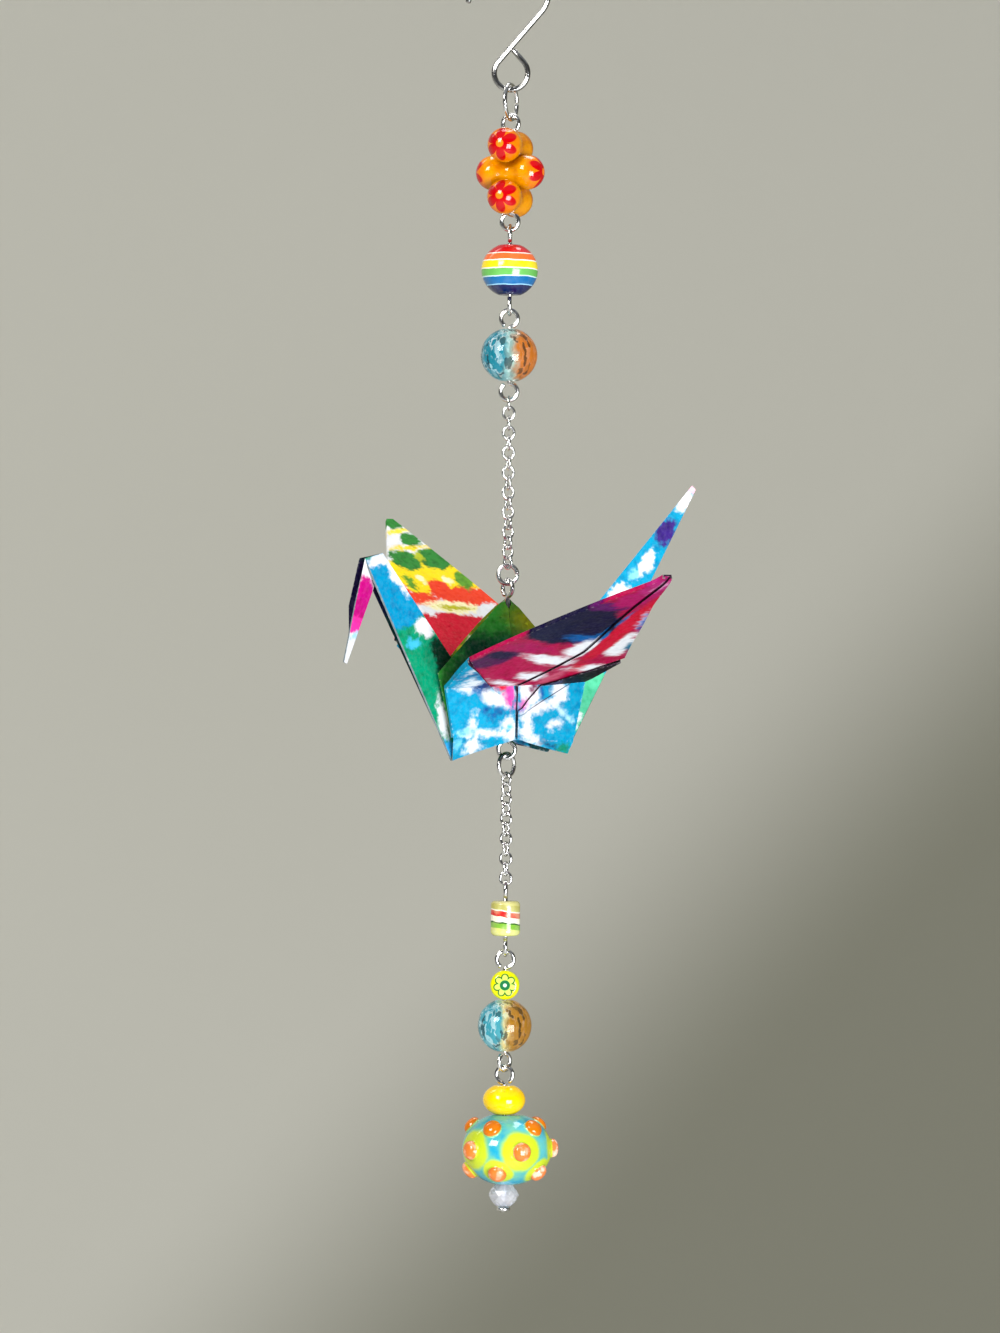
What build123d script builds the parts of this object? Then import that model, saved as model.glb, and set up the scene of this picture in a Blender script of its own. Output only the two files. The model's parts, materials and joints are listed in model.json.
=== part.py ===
from build123d import *
import os
from math import asin, atan2, cos, degrees, hypot, pi, radians, sin, sqrt, tan

import numpy as np

# Origami crane ornament: a crane folded from one paper square, threaded on an eye pin in the middle of a
# hanging string of glass beads, eye pins, jump rings and cable chain, with a wire hook at the top.
# Millimetres, +Z up. The origin is the point inside the hook's crook that rests on a nail or twig.
# +X is to the right of someone who faces the ornament, and +Y is away from them.

# Wire
HOOK_WIRE = 0.8
RING_WIRE = 0.65
PIN_WIRE = 0.65
LINK_WIRE = 0.4
LOOP_PLAY = 0.06  # gap where one loop hangs in another
WIRE_SIDES = 6  # flats on the drawn wire
WIRE_CORNER = 1.05  # corner radius of its section, over the wire's own radius
LOOP_STEPS = 10  # straight runs round an eye or a jump ring
LINK_STEPS = 8

# Hook, radii to the middle of the wire
CROOK_RADIUS = 5.3
CROOK_TIP_DROP = 2.4
CROOK_TIP_FLARE = 0.9
HOOK_LOOP_RADIUS = 2.4
HOOK_LOOP_TURN = 262  # the end then runs straight up to the slanted run
HOOK_RUN_LEAN = 40.4  # degrees from the vertical
HOOK_LENGTH = 19.8  # from the hanging point to the loop's lowest wire
HOOK_BEND_RADIUS = 4.0
HOOK_STEPS = 20

# Jump rings and eyes, radii to the middle of the wire
TOP_RING_RADIUS = 2.52
CRANE_RING_RADIUS = 1.38
LOWER_RING_RADIUS = 1.65
EYE_RADIUS = 1.2
BUTT_GAP = 0.2  # left open where the end of a ring or an eye meets the wire again
EYE_END_ANGLE = 36  # where an eye's end stops, round from its shaft

# Cable chain
LINK_LENGTH = 2.28
LINK_WIDTH = 2.0
UPPER_LINKS = 17
LOWER_LINKS = 11
UPPER_CHAIN_TURN = 90  # of the first link, in degrees
LOWER_CHAIN_TURN = -45
UPPER_TWIST = 40  # degrees that the chain turns from end to end
LOWER_TWIST = 35

# Beads
BEAD_HOLE = 0.85
BEAD_PLAY = 0.08  # gap between neighbours on a pin
PEANUT_TURN = 72  # of the first peanut bead; the next one lies across it
BEAD_SIDES = 20  # flats round a bead
SMALL_BEAD_SIDES = 16
BEAD_STEPS = 8  # straight cuts down a round bead's side
PEANUT_LENGTH = 10.1
PEANUT_BULGE = 5.0
PEANUT_WAIST = 3.6
PEANUT_END = 1.6  # flat at each end
PEANUT_STEPS = 3  # straight cuts over a quarter of a bulge
RAINBOW_WIDTH = 8.1
RAINBOW_HEIGHT = 7.1
RAINBOW_END = 3.2
CRACKLE_WIDTH = 8.1
CRACKLE_HEIGHT = 7.4
CRACKLE_END = 2.4
LOWER_CRACKLE_WIDTH = 7.7
LOWER_CRACKLE_HEIGHT = 7.3
LOWER_CRACKLE_END = 2.4
CANE_WIDTH = 4.2
CANE_HEIGHT = 5.0
CANE_EDGE = 0.7
FLOWER_WIDTH = 4.2
FLOWER_THICKNESS = 3.0
FLOWER_EDGE = 0.6
SPACER_WIDTH = 6.1
SPACER_HEIGHT = 4.1
SPACER_END = 2.8
SPACER_STEPS = 6
LAMPWORK_WIDTH = 12.8
LAMPWORK_HEIGHT = 9.8
LAMPWORK_END = 4.4
BUMP_WIDTH = 2.8
BUMP_TOP = 1.3
BUMP_HEIGHT = 0.9
BUMP_SIDES = 8
BUMP_ROWS = ((40, 5, -115), (2, 5, -71), (-36, 5, -105))  # latitude, number, first longitude; degrees
CRYSTAL_WIDTH = 4.3
CRYSTAL_HEIGHT = 3.1
CRYSTAL_END = 2.4
CRYSTAL_GIRDLE = 0.4
CRYSTAL_SIDES = 10
PIN_HEAD_WIDTH = 2.0
PIN_HEAD_HEIGHT = 0.7

# How each loop is turned about the vertical, in degrees; 0 faces the viewer
TOP_RING_TURN = 70
PEANUT_TURNS = (-20, 0)  # upper and lower eye of a pin
RAINBOW_TURNS = (90, 90)
CRACKLE_TURNS = (0, 0)
CRANE_RING_TURN = 0
CRANE_PIN_TURNS = (-55, 0)
LOWER_RING_TURN = 48
CANE_TURNS = (90, 90)
FLOWER_TURNS = (0, 50)
HEAD_PIN_TURN = -15

# Paper crane
SHEET_SIDE = 98
SHEET_THICKNESS = 0.2
SPIKE_LIMIT = 0.01  # keeps the outside of a sharp fold from running out into a spike
CRANE_TURN = 29.9  # about the vertical: the neck comes towards the viewer
CRANE_ROLL = 2.3  # lean to the tail side
CRANE_DROP = 1.3  # from the upper eye's middle to the peak of the hump
PEAK_TO_LOWER_EYE = 21.95
PAPER_HOLE = 0.85
PUFF = 0.8  # how far each face of the hump bows out
PUFF_HEIGHT = 14.5
BODY_HALF_DEPTH = 3.2  # from the middle plane to the front of the body, at the wing's root
BEND_HALF_DEPTH = 2.85  # the same, where the wing bends away
NECK_FOOT_HALF_DEPTH = 2.3  # the same, at the foot of the neck
TAIL_FOOT_HALF_DEPTH = 3.0
WING_BEND = 8.0  # height of the bend over the wing's root
FRONT_WING_RISE = 20.6  # degrees over the level
BACK_WING_RISE = 33.0
FRONT_WING_SKEW = 4.6  # slope of the bend
BACK_WING_SKEW = -1.7
WING_TIP_WIDTH = 0.9
FOLD_GAP = 0.36  # between the two layers at a pressed fold
LAYER_GAP = 0.5  # between layers at the slit, where they spread
SLIT_WIDTH = 0.36
FRONT_SLIT_BOW = 3.0  # how far the slit under a wing bows to the tail side
BACK_SLIT_BOW = 0.5
SLIT_BOW_HEIGHT = 20
TUCK = 1.4  # how far a layer runs on under the one that covers it
PLEAT_SHORT = 0.8  # from the end of the narrowing fold to the wing's shoulder
GUSSET_INSET = 5.9  # inner fold of the gusset, from the middle
GUSSET_HEIGHT = 12.2
NECK_LEAN = 39.5  # from the vertical
NECK_OPENING = 15.5  # half of the angle between the neck's two sides
HEAD_FOLD = 32.2  # from the foot of the neck, along its spine
HEAD_FOLD_SLANT = 1.2
HEAD_LEAN = 18.8
HEAD_LENGTH = 16.0
CHEEK_SHARE = 0.45  # where the head's open edges bow out, from its fold to the beak
CHEEK_BOW = 0.7
CHEEK_DEPTH = 0.8
TAIL_LEAN = 40.2
TAIL_LIFT = 1.8  # the tail's fold starts this much above the neck's
TAIL_LENGTH = 47.0
SPINE_START = 6.0  # the spines begin this far up from their folds, clear of the pin
FOOT_SHARE = 0.3  # part of the body's lower edge that carries the neck or the tail
BLUNT_WIDTH = 0.5  # of the beak and of the tail's tip

KITE_ANGLE = 22.5  # the bird base halves a right angle twice
LEG_ANGLE = KITE_ANGLE / 2  # and its legs are halved once more

LEG_SLOPE = tan(radians(LEG_ANGLE))
WING_SLOPE = tan(radians(KITE_ANGLE))
WING_TIP = SHEET_SIDE / 2
HUMP_HEIGHT = WING_TIP * WING_SLOPE
RIDGE_FOOT = (HUMP_HEIGHT - WING_TIP * LEG_SLOPE) / (1 + LEG_SLOPE)
SHOULDER = WING_TIP * (WING_SLOPE - LEG_SLOPE) / (WING_SLOPE + LEG_SLOPE)
FREE_EDGE_FOOT = hypot(HUMP_HEIGHT, WING_TIP) - WING_TIP
ACROSS = 4 * LAMPWORK_WIDTH  # longer than any bead, for drilling


def turned(shape, angle):
    return Rot(0, 0, angle) * shape


def raised(points, height):
    return [(x, y, z + height) for x, y, z in points]


# Wire pieces


def wire_along(points, wire, closed=False):
    """Drawn wire along straight runs in the XZ plane, mitred where it bends."""
    path = Polyline(*points, close=closed)
    start = Plane(origin=path @ 0, x_dir=(0, 1, 0), z_dir=path % 0)
    section = start * RegularPolygon(wire / 2 * WIRE_CORNER, WIRE_SIDES)
    return sweep(section, path=path, transition=Transition.RIGHT)


def arc_points(radius_x, radius_z, start, turn, steps):
    """Corners of straight runs that touch an arc at their middles."""
    spread = 1 / cos(radians(turn / steps / 2))
    angles = [radians(start + turn * k / steps) for k in range(steps + 1)]
    return [(radius_x * spread * cos(a), 0, radius_z * spread * sin(a)) for a in angles]


def closed_loop(radius_x, radius_z, wire, steps):
    """A loop whose highest and lowest runs are level."""
    corners = arc_points(radius_x, radius_z, 90 + 180 / steps, 360, steps)
    return wire_along(corners[:-1], wire, closed=True)


def split_loop(radius, wire, angle):
    """A loop of wire whose ends meet at an angle from its lowest point."""
    loop = closed_loop(radius, radius, wire, LOOP_STEPS)
    cut = Pos(0, 0, -radius) * Box(BUTT_GAP, 2 * wire, 2 * wire)
    return loop - Rot(0, -angle, 0) * cut


def jump_ring(radius, top_wire, turn):
    return Pos(0, 0, top_wire - radius) * turned(split_loop(radius, RING_WIRE, 90), turn)


def chain_link(top_wire, turn):
    half_width = (LINK_WIDTH - LINK_WIRE) / 2
    half_length = (LINK_LENGTH - LINK_WIRE) / 2
    link = closed_loop(half_width, half_length, LINK_WIRE, LINK_STEPS)
    return Pos(0, 0, top_wire - half_length) * turned(link, turn)


def shaft(top, low):
    section = RegularPolygon(PIN_WIRE / 2 * WIRE_CORNER, WIRE_SIDES)
    return Pos(0, 0, low) * extrude(section, amount=top - low)


def eye(middle, turn, shaft_below):
    """The eye bent in a pin's end, with its shaft below or above it."""
    loop = split_loop(EYE_RADIUS, PIN_WIRE, EYE_END_ANGLE)
    upright = loop if shaft_below else Rot(180, 0, 0) * loop
    return Pos(0, 0, middle) * turned(upright, turn)


def eye_pin(upper_eye, lower_eye, turns):
    ends = eye(upper_eye, turns[0], True) + eye(lower_eye, turns[1], False)
    return ends + shaft(upper_eye - EYE_RADIUS, lower_eye + EYE_RADIUS)


def head_pin(upper_eye, head_top, turn):
    """A pin with an eye above and a flat head that carries the beads."""
    head = Pos(0, 0, head_top - PIN_HEAD_HEIGHT) * extrude(
        RegularPolygon(PIN_HEAD_WIDTH / 2, 2 * WIRE_SIDES), amount=PIN_HEAD_HEIGHT
    )
    return eye(upper_eye, turn, True) + shaft(upper_eye - EYE_RADIUS, head_top - PIN_HEAD_HEIGHT / 2) + head


def hook():
    """One length of wire: a crook to hang by, a slanted run, and a loop that carries the string."""
    lean = radians(HOOK_RUN_LEAN)
    crook_middle = HOOK_WIRE / 2 - CROOK_RADIUS
    tip = (-CROOK_RADIUS - CROOK_TIP_FLARE, 0, crook_middle - CROOK_TIP_DROP)
    crook = raised(arc_points(CROOK_RADIUS, CROOK_RADIUS, 180, -180, HOOK_STEPS // 2), crook_middle)
    loop_steps = round(HOOK_STEPS * HOOK_LOOP_TURN / 360)
    loop = arc_points(HOOK_LOOP_RADIUS, HOOK_LOOP_RADIUS, 180 - HOOK_RUN_LEAN, HOOK_LOOP_TURN, loop_steps)
    loop = raised(loop, HOOK_LOOP_RADIUS - HOOK_LENGTH)
    run_top = loop[0][2] + (crook[-1][0] - loop[0][0]) / tan(lean)
    reach = HOOK_BEND_RADIUS * tan(lean / 2)
    above = (crook[-1][0], 0, run_top + reach)
    below = (crook[-1][0] - reach * sin(lean), 0, run_top - reach * cos(lean))
    closing = radians(HOOK_LOOP_TURN - 180)
    from_run = HOOK_LOOP_RADIUS * (1 + cos(closing)) - HOOK_WIRE / 2 * WIRE_CORNER - BUTT_GAP
    end_run = from_run / sin(closing)
    heading = radians(180 - HOOK_RUN_LEAN + HOOK_LOOP_TURN + 90)
    end = (loop[-1][0] + end_run * cos(heading), 0, loop[-1][2] + end_run * sin(heading))
    return wire_along([tip] + crook + [above, below] + loop + [end], HOOK_WIRE)


# Beads, each about its own middle with its hole upright


def flat_faced(outlines):
    """The solid inside flat faces, each given by its corners in order, seen from outside."""
    return Solid(Shell([Face(Wire.make_polygon(outline)) for outline in outlines]))


def lathed(sections, sides):
    """A turned form: flat-sided rounds of given heights and widths, from the top, joined by straight cuts."""
    turns = [2 * pi * k / sides for k in range(sides)]
    rings = [[Vector(w / 2 * cos(t), w / 2 * sin(t), z) for t in turns] for z, w in sections]
    outlines = [rings[0], rings[-1][::-1]]
    for over, under in zip(rings, rings[1:]):
        outlines += [[over[k], over[k - 1], under[k - 1], under[k]] for k in range(sides)]
    return flat_faced(outlines)


def hole(width):
    """A long upright prism that leaves a hole as wide as a round drill would."""
    return extrude(RegularPolygon(width / 2, WIRE_SIDES, major_radius=False), amount=ACROSS, both=True)


def drilled(bead):
    return bead - hole(BEAD_HOLE)


def round_bead(width, height, end, cuts):
    """An oval bead, with a flat at each end of its hole."""
    first = atan2(sqrt(1 - (end / width) ** 2), end / width)
    rise = height / 2 / sin(first)
    angles = [first - 2 * first * k / cuts for k in range(cuts + 1)]
    return drilled(lathed([(rise * sin(a), width * cos(a)) for a in angles], BEAD_SIDES))


def peanut_bead(turn):
    """Two round bulges with a waist between them, drilled across the waist."""
    bulge = PEANUT_BULGE / 2
    first = asin(PEANUT_END / PEANUT_BULGE)
    offset = PEANUT_LENGTH / 2 - bulge * cos(first)
    angles = [first + (pi / 2 - first) * k / PEANUT_STEPS for k in range(PEANUT_STEPS + 1)]
    half = [(offset + bulge * cos(a), PEANUT_BULGE * sin(a)) for a in angles]
    half += [(offset / 2, (PEANUT_BULGE + PEANUT_WAIST) / 2), (offset / 6, PEANUT_WAIST)]
    sections = half + [(-x, width) for x, width in reversed(half)]
    return turned(drilled(Rot(0, 90, 0) * lathed(sections, SMALL_BEAD_SIDES)), turn)


def barrel(width, height, edge):
    """A short rod with bevelled ends."""
    middle, end = height / 2 - edge, height / 2
    sections = ((end, width - 2 * edge), (middle, width), (-middle, width), (-end, width - 2 * edge))
    return lathed(sections, SMALL_BEAD_SIDES)


def cane_bead():
    return drilled(barrel(CANE_WIDTH, CANE_HEIGHT, CANE_EDGE))


def flower_bead():
    """A slice of patterned cane with its face to the viewer, drilled through its rim."""
    return drilled(Rot(90, 0, 0) * barrel(FLOWER_WIDTH, FLOWER_THICKNESS, FLOWER_EDGE))


def bump():
    """A raised dot of glass that stands on +Z, with a root to sink into the bead."""
    sections = ((BUMP_HEIGHT, BUMP_TOP), (BUMP_HEIGHT / 4, BUMP_WIDTH), (-BUMP_HEIGHT, BUMP_WIDTH))
    return lathed(sections, BUMP_SIDES)


def lampwork_bead():
    """A squat bead with rows of raised dots round it."""
    body = round_bead(LAMPWORK_WIDTH, LAMPWORK_HEIGHT, LAMPWORK_END, BEAD_STEPS)
    half_width, half_height = LAMPWORK_WIDTH / 2, LAMPWORK_HEIGHT / 2
    dots = []
    for latitude, number, first in BUMP_ROWS:
        lean = radians(latitude)
        foot = (half_width * cos(lean), 0, half_height * sin(lean))
        slope = degrees(atan2(half_width * sin(lean), half_height * cos(lean)))
        dot = Pos(*foot) * Rot(0, 90 - slope, 0) * bump()
        dots += [turned(dot, first + 360 * k / number) for k in range(number)]
    return body.fuse(*dots)


def crystal_bead():
    """A cut bead: a narrow girdle between two crowns of flat facets."""
    girdle, end = CRYSTAL_GIRDLE / 2, CRYSTAL_HEIGHT / 2
    sections = ((end, CRYSTAL_END), (girdle, CRYSTAL_WIDTH), (-girdle, CRYSTAL_WIDTH), (-end, CRYSTAL_END))
    return drilled(lathed(sections, CRYSTAL_SIDES))


# Crane. Its corners are vectors of (towards the tail, towards the back, up) from the middle of the wings' roots.


def rotated_about(point, centre, axis, angle):
    arm = point - centre
    along = axis * axis.dot(arm)
    return centre + along + (arm - along) * cos(angle) + axis.cross(arm) * sin(angle)


def half_width(height):
    """Half of the narrowed bird base's width."""
    return (WING_TIP + height) * LEG_SLOPE


def leaning(hand, lean):
    """Unit vectors up along a leg that leans to one hand, and across it to its open edge."""
    along = Vector(hand * sin(radians(lean)), 0, cos(radians(lean)))
    aside = Vector(hand * cos(radians(lean)), 0, -sin(radians(lean)))
    return along, aside


def foot_corner(hand, side):
    """Outer end of the fold that turns a leg up into the neck or the tail."""
    neck, tail = (NECK_LEAN, 0, NECK_FOOT_HALF_DEPTH), (TAIL_LEAN, TAIL_LIFT, TAIL_FOOT_HALF_DEPTH)
    lean, lift, depth = neck if hand < 0 else tail
    slope = tan(radians(lean / 2))
    along = (WING_TIP + lift) * LEG_SLOPE / (1 + LEG_SLOPE * slope)
    return Vector(hand * along, side * depth, lift - along * slope)


def blunt(point, aside, side):
    """The open edge's end at a narrow tip."""
    return point + aside * BLUNT_WIDTH + Vector(0, side * BLUNT_WIDTH / 2, 0)


def wing_half(side, rise, skew, bow):
    """Corners and facets of the front (side -1) or back (side 1) half of the body, with its wing."""
    outward = Vector(0, side, 0)
    root = outward * BODY_HALF_DEPTH
    upward = Vector(0, side * (BEND_HALF_DEPTH - BODY_HALF_DEPTH), WING_BEND).normalized()
    bend_middle = root + upward * WING_BEND
    bend_line = Vector(1, 0, 0) * cos(radians(skew)) + upward * sin(radians(skew))
    fold = -side * radians(90 - rise)
    wing_way = rotated_about(bend_middle + upward, bend_middle, bend_line, fold) - bend_middle
    under_bend = (wing_way - upward).normalized()
    under_share = 1 / sin(radians(90 + rise) / 2)

    def on_body(along, height, lift=0.0):
        return root + Vector(along, 0, 0) + upward * height + outward * lift

    def on_wing(along, height, lift=0.0):
        return rotated_about(on_body(along, height, lift), bend_middle, bend_line, fold)

    def on_bend(along, lift=0.0):
        return bend_middle + bend_line * (along / cos(radians(skew))) + under_bend * lift * under_share

    def stand_off(along, layers):
        """How far a folded layer lies from the wing: spread at the slit, and pressed at the outer fold."""
        spread = layers * LAYER_GAP
        return spread - (spread - FOLD_GAP) * abs(along) / half_width(WING_BEND)

    ridge = (BODY_HALF_DEPTH - FOLD_GAP) * (1 - RIDGE_FOOT / HUMP_HEIGHT)
    slit = SLIT_WIDTH / 2
    free_edge = WING_BEND - FREE_EDGE_FOOT
    tucked = free_edge + TUCK
    tip_height = WING_TIP - WING_TIP_WIDTH / 2 / WING_SLOPE
    pleat_end = SHOULDER - PLEAT_SHORT
    puff_depth = (BODY_HALF_DEPTH - FOLD_GAP) * (1 - PUFF_HEIGHT / HUMP_HEIGHT) + PUFF
    corners, facets = {("puff", side): Vector(0, side * puff_depth, PUFF_HEIGHT)}, []
    for hand in (-1, 1):
        bend_end = hand * half_width(WING_BEND) / (1 - hand * LEG_SLOPE * tan(radians(skew)))
        corner = foot_corner(hand, side)
        slit_foot = on_body(hand * slit, 0, 2 * LAYER_GAP)
        carry = corner + (slit_foot - corner) * FOOT_SHARE
        carry = Vector(carry.X, corner.Y, carry.Z)
        made = {
            "ridge": Vector(hand * half_width(RIDGE_FOOT), side * ridge, RIDGE_FOOT),
            "hump root": on_body(hand * half_width(0), 0, -FOLD_GAP),
            "root": on_body(hand * half_width(0), 0),
            "bend": on_bend(bend_end),
            "pleat": on_wing(hand * half_width(pleat_end), pleat_end),
            "shoulder": on_wing(hand * half_width(SHOULDER), SHOULDER),
            "tip": on_wing(hand * WING_TIP_WIDTH / 2, tip_height),
            "strip shoulder": on_wing(hand * half_width(SHOULDER), SHOULDER, FOLD_GAP),
            "strip tip": on_wing(hand * WING_TIP_WIDTH / 2, tip_height, FOLD_GAP),
            "slit tip": on_wing(hand * slit, tip_height, FOLD_GAP),
            "slit bow": on_wing(hand * slit + bow, SLIT_BOW_HEIGHT, (LAYER_GAP + FOLD_GAP) / 2),
            "strip bend": on_bend(hand * slit, LAYER_GAP),
            "strip foot": on_body(hand * slit, FREE_EDGE_FOOT - TUCK, LAYER_GAP),
            "strip tuck": on_bend(hand * tucked, stand_off(tucked, 1)),
            "panel root": on_body(hand * half_width(0), 0, FOLD_GAP),
            "panel bend": on_bend(bend_end, FOLD_GAP),
            "panel pleat": on_wing(hand * half_width(pleat_end), pleat_end, 2 * FOLD_GAP),
            "free edge": on_bend(hand * free_edge, stand_off(free_edge, 2)),
            "slit top": on_body(hand * slit, FREE_EDGE_FOOT, 2 * LAYER_GAP),
            "slit foot": slit_foot,
            "carry": carry,
            "corner": corner,
            "leg carry": carry - outward * FOLD_GAP,
            "leg corner": corner - outward * FOLD_GAP,
        }
        corners |= {(name, side, hand): place for name, place in made.items()}
        for names in (
            ("shoulder", "tip", "strip tip", "strip shoulder"),
            ("slit bow", "strip bend", "strip tuck", "strip shoulder", "strip tip", "slit tip"),
            ("strip bend", "strip foot", "strip tuck"),
            ("root", "bend", "panel bend", "panel root"),
            ("bend", "pleat", "panel pleat", "panel bend"),
            ("panel bend", "panel root", "slit foot", "slit top", "free edge"),
            ("panel root", "corner", "carry", "slit foot"),
            ("panel bend", "free edge", "panel pleat"),
            ("corner", "carry", "leg carry", "leg corner"),
        ):
            facets.append([(name, side, hand) for name in names])
        facets.append(["peak", ("ridge", side, hand), ("gusset", hand)])

    def across(*names):
        """A facet that runs from the neck's hand to the tail's and back."""
        return [(name, side, -1) for name in names] + [(name, side, 1) for name in reversed(names)]

    facets.append([("puff", side), "peak"] + across("ridge", "hump root") + ["peak"])
    facets.append(across("hump root", "root"))
    facets.append(across("root", "bend"))
    wing = across("bend", "pleat", "shoulder", "tip")
    facets.append(wing[3:] + wing[:3])
    return corners, facets


def crane_sheet():
    """Corners and facets of the folded sheet's middle surface."""
    corners = {
        "peak": Vector(0, 0, HUMP_HEIGHT),
        ("gusset", -1): Vector(-GUSSET_INSET, 0, GUSSET_HEIGHT),
        ("gusset", 1): Vector(GUSSET_INSET, 0, GUSSET_HEIGHT),
    }
    facets = []
    front = (-1, FRONT_WING_RISE, FRONT_WING_SKEW, FRONT_SLIT_BOW)
    back = (1, BACK_WING_RISE, BACK_WING_SKEW, BACK_SLIT_BOW)
    for wing in (front, back):
        more_corners, more_facets = wing_half(*wing)
        corners |= more_corners
        facets += more_facets

    neck_way, neck_aside = leaning(-1, NECK_LEAN)
    tail_way, tail_aside = leaning(1, TAIL_LEAN)
    head_way, head_aside = leaning(-1, 180 - HEAD_LEAN)
    head_aside = head_aside * -1
    tail_foot = Vector(0, 0, TAIL_LIFT)
    crown = neck_way * HEAD_FOLD
    corners["neck spine"] = neck_way * SPINE_START
    corners["crown"] = crown
    corners["beak"] = crown + head_way * HEAD_LENGTH
    corners["tail spine"] = tail_foot + tail_way * SPINE_START
    corners["tail tip"] = tail_foot + tail_way * TAIL_LENGTH
    brow_distance = HEAD_FOLD + HEAD_FOLD_SLANT
    brow_width = (WING_TIP - brow_distance) * LEG_SLOPE
    for side in (-1, 1):
        out = Vector(0, side, 0)
        opening = neck_aside * cos(radians(NECK_OPENING)) + out * sin(radians(NECK_OPENING))
        brow = neck_way * brow_distance + opening * brow_width
        lower_beak = blunt(corners["beak"], head_aside, side)
        bow = head_aside * CHEEK_BOW + out * CHEEK_DEPTH
        corners["brow", side] = brow
        corners["lower beak", side] = lower_beak
        corners["cheek", side] = brow + (lower_beak - brow) * CHEEK_SHARE + bow
        corners["tail edge", side] = blunt(corners["tail tip"], tail_aside, side)
        facets += [
            [("leg corner", side, -1), ("leg carry", side, -1), "neck spine", "crown", ("brow", side)],
            ["crown", ("brow", side), ("cheek", side), ("lower beak", side), "beak"],
            [("leg corner", side, 1), ("leg carry", side, 1), "tail spine", "tail tip", ("tail edge", side)],
        ]
    return corners, facets


def one_way_round(facets):
    """The facets as triangles that all turn the same way round, found by walking over shared edges."""
    waiting = [[f[0], f[k], f[k + 1]] for f in facets for k in range(1, len(f) - 1)]
    done, edges = [], set()
    while waiting:
        for triangle in waiting:
            pairs = {(triangle[k - 1], triangle[k]) for k in range(3)}
            back = {(b, a) for a, b in pairs}
            if not done or pairs & edges or back & edges:
                break
        waiting.remove(triangle)
        against = bool(pairs & edges)
        done.append(triangle[::-1] if against else triangle)
        edges |= back if against else pairs
    return done, edges


def thickened(corners, facets):
    """The folded sheet as one solid: each corner is moved out to both faces of the paper."""
    triangles, edges = one_way_round(facets)
    sums = {name: [SPIKE_LIMIT * np.eye(3), np.zeros(3)] for name in corners}
    for triangle in triangles:
        a, b, c = (corners[name] for name in triangle)
        normal = np.array(tuple((b - a).cross(c - a).normalized()))
        for name in triangle:
            sums[name][0] += np.outer(normal, normal)
            sums[name][1] += normal * SHEET_THICKNESS / 2
    offsets = {name: Vector(*np.linalg.solve(*pair)) for name, pair in sums.items()}
    upper = {name: corners[name] + offsets[name] for name in corners}
    lower = {name: corners[name] - offsets[name] for name in corners}
    outlines = [[upper[name] for name in t] for t in triangles]
    outlines += [[lower[name] for name in reversed(t)] for t in triangles]
    for a, b in edges:
        if (b, a) not in edges:
            outlines.append([upper[b], upper[a], lower[a]])
            outlines.append([upper[b], lower[a], lower[b]])
    return flat_faced(outlines)


def crane(peak):
    """The crane with its hump's peak on the string, pierced there for its pin."""
    sheet = Pos(0, 0, -HUMP_HEIGHT) * thickened(*crane_sheet())
    hung = Pos(0, 0, peak) * Rot(0, CRANE_ROLL, 0) * Rot(0, 0, CRANE_TURN) * sheet
    pierced = hole(PAPER_HOLE) & Box(PAPER_HOLE * 2, PAPER_HOLE * 2, HUMP_HEIGHT / 2)
    return hung - Pos(0, 0, peak) * pierced


# The string, from the hook down


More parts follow.
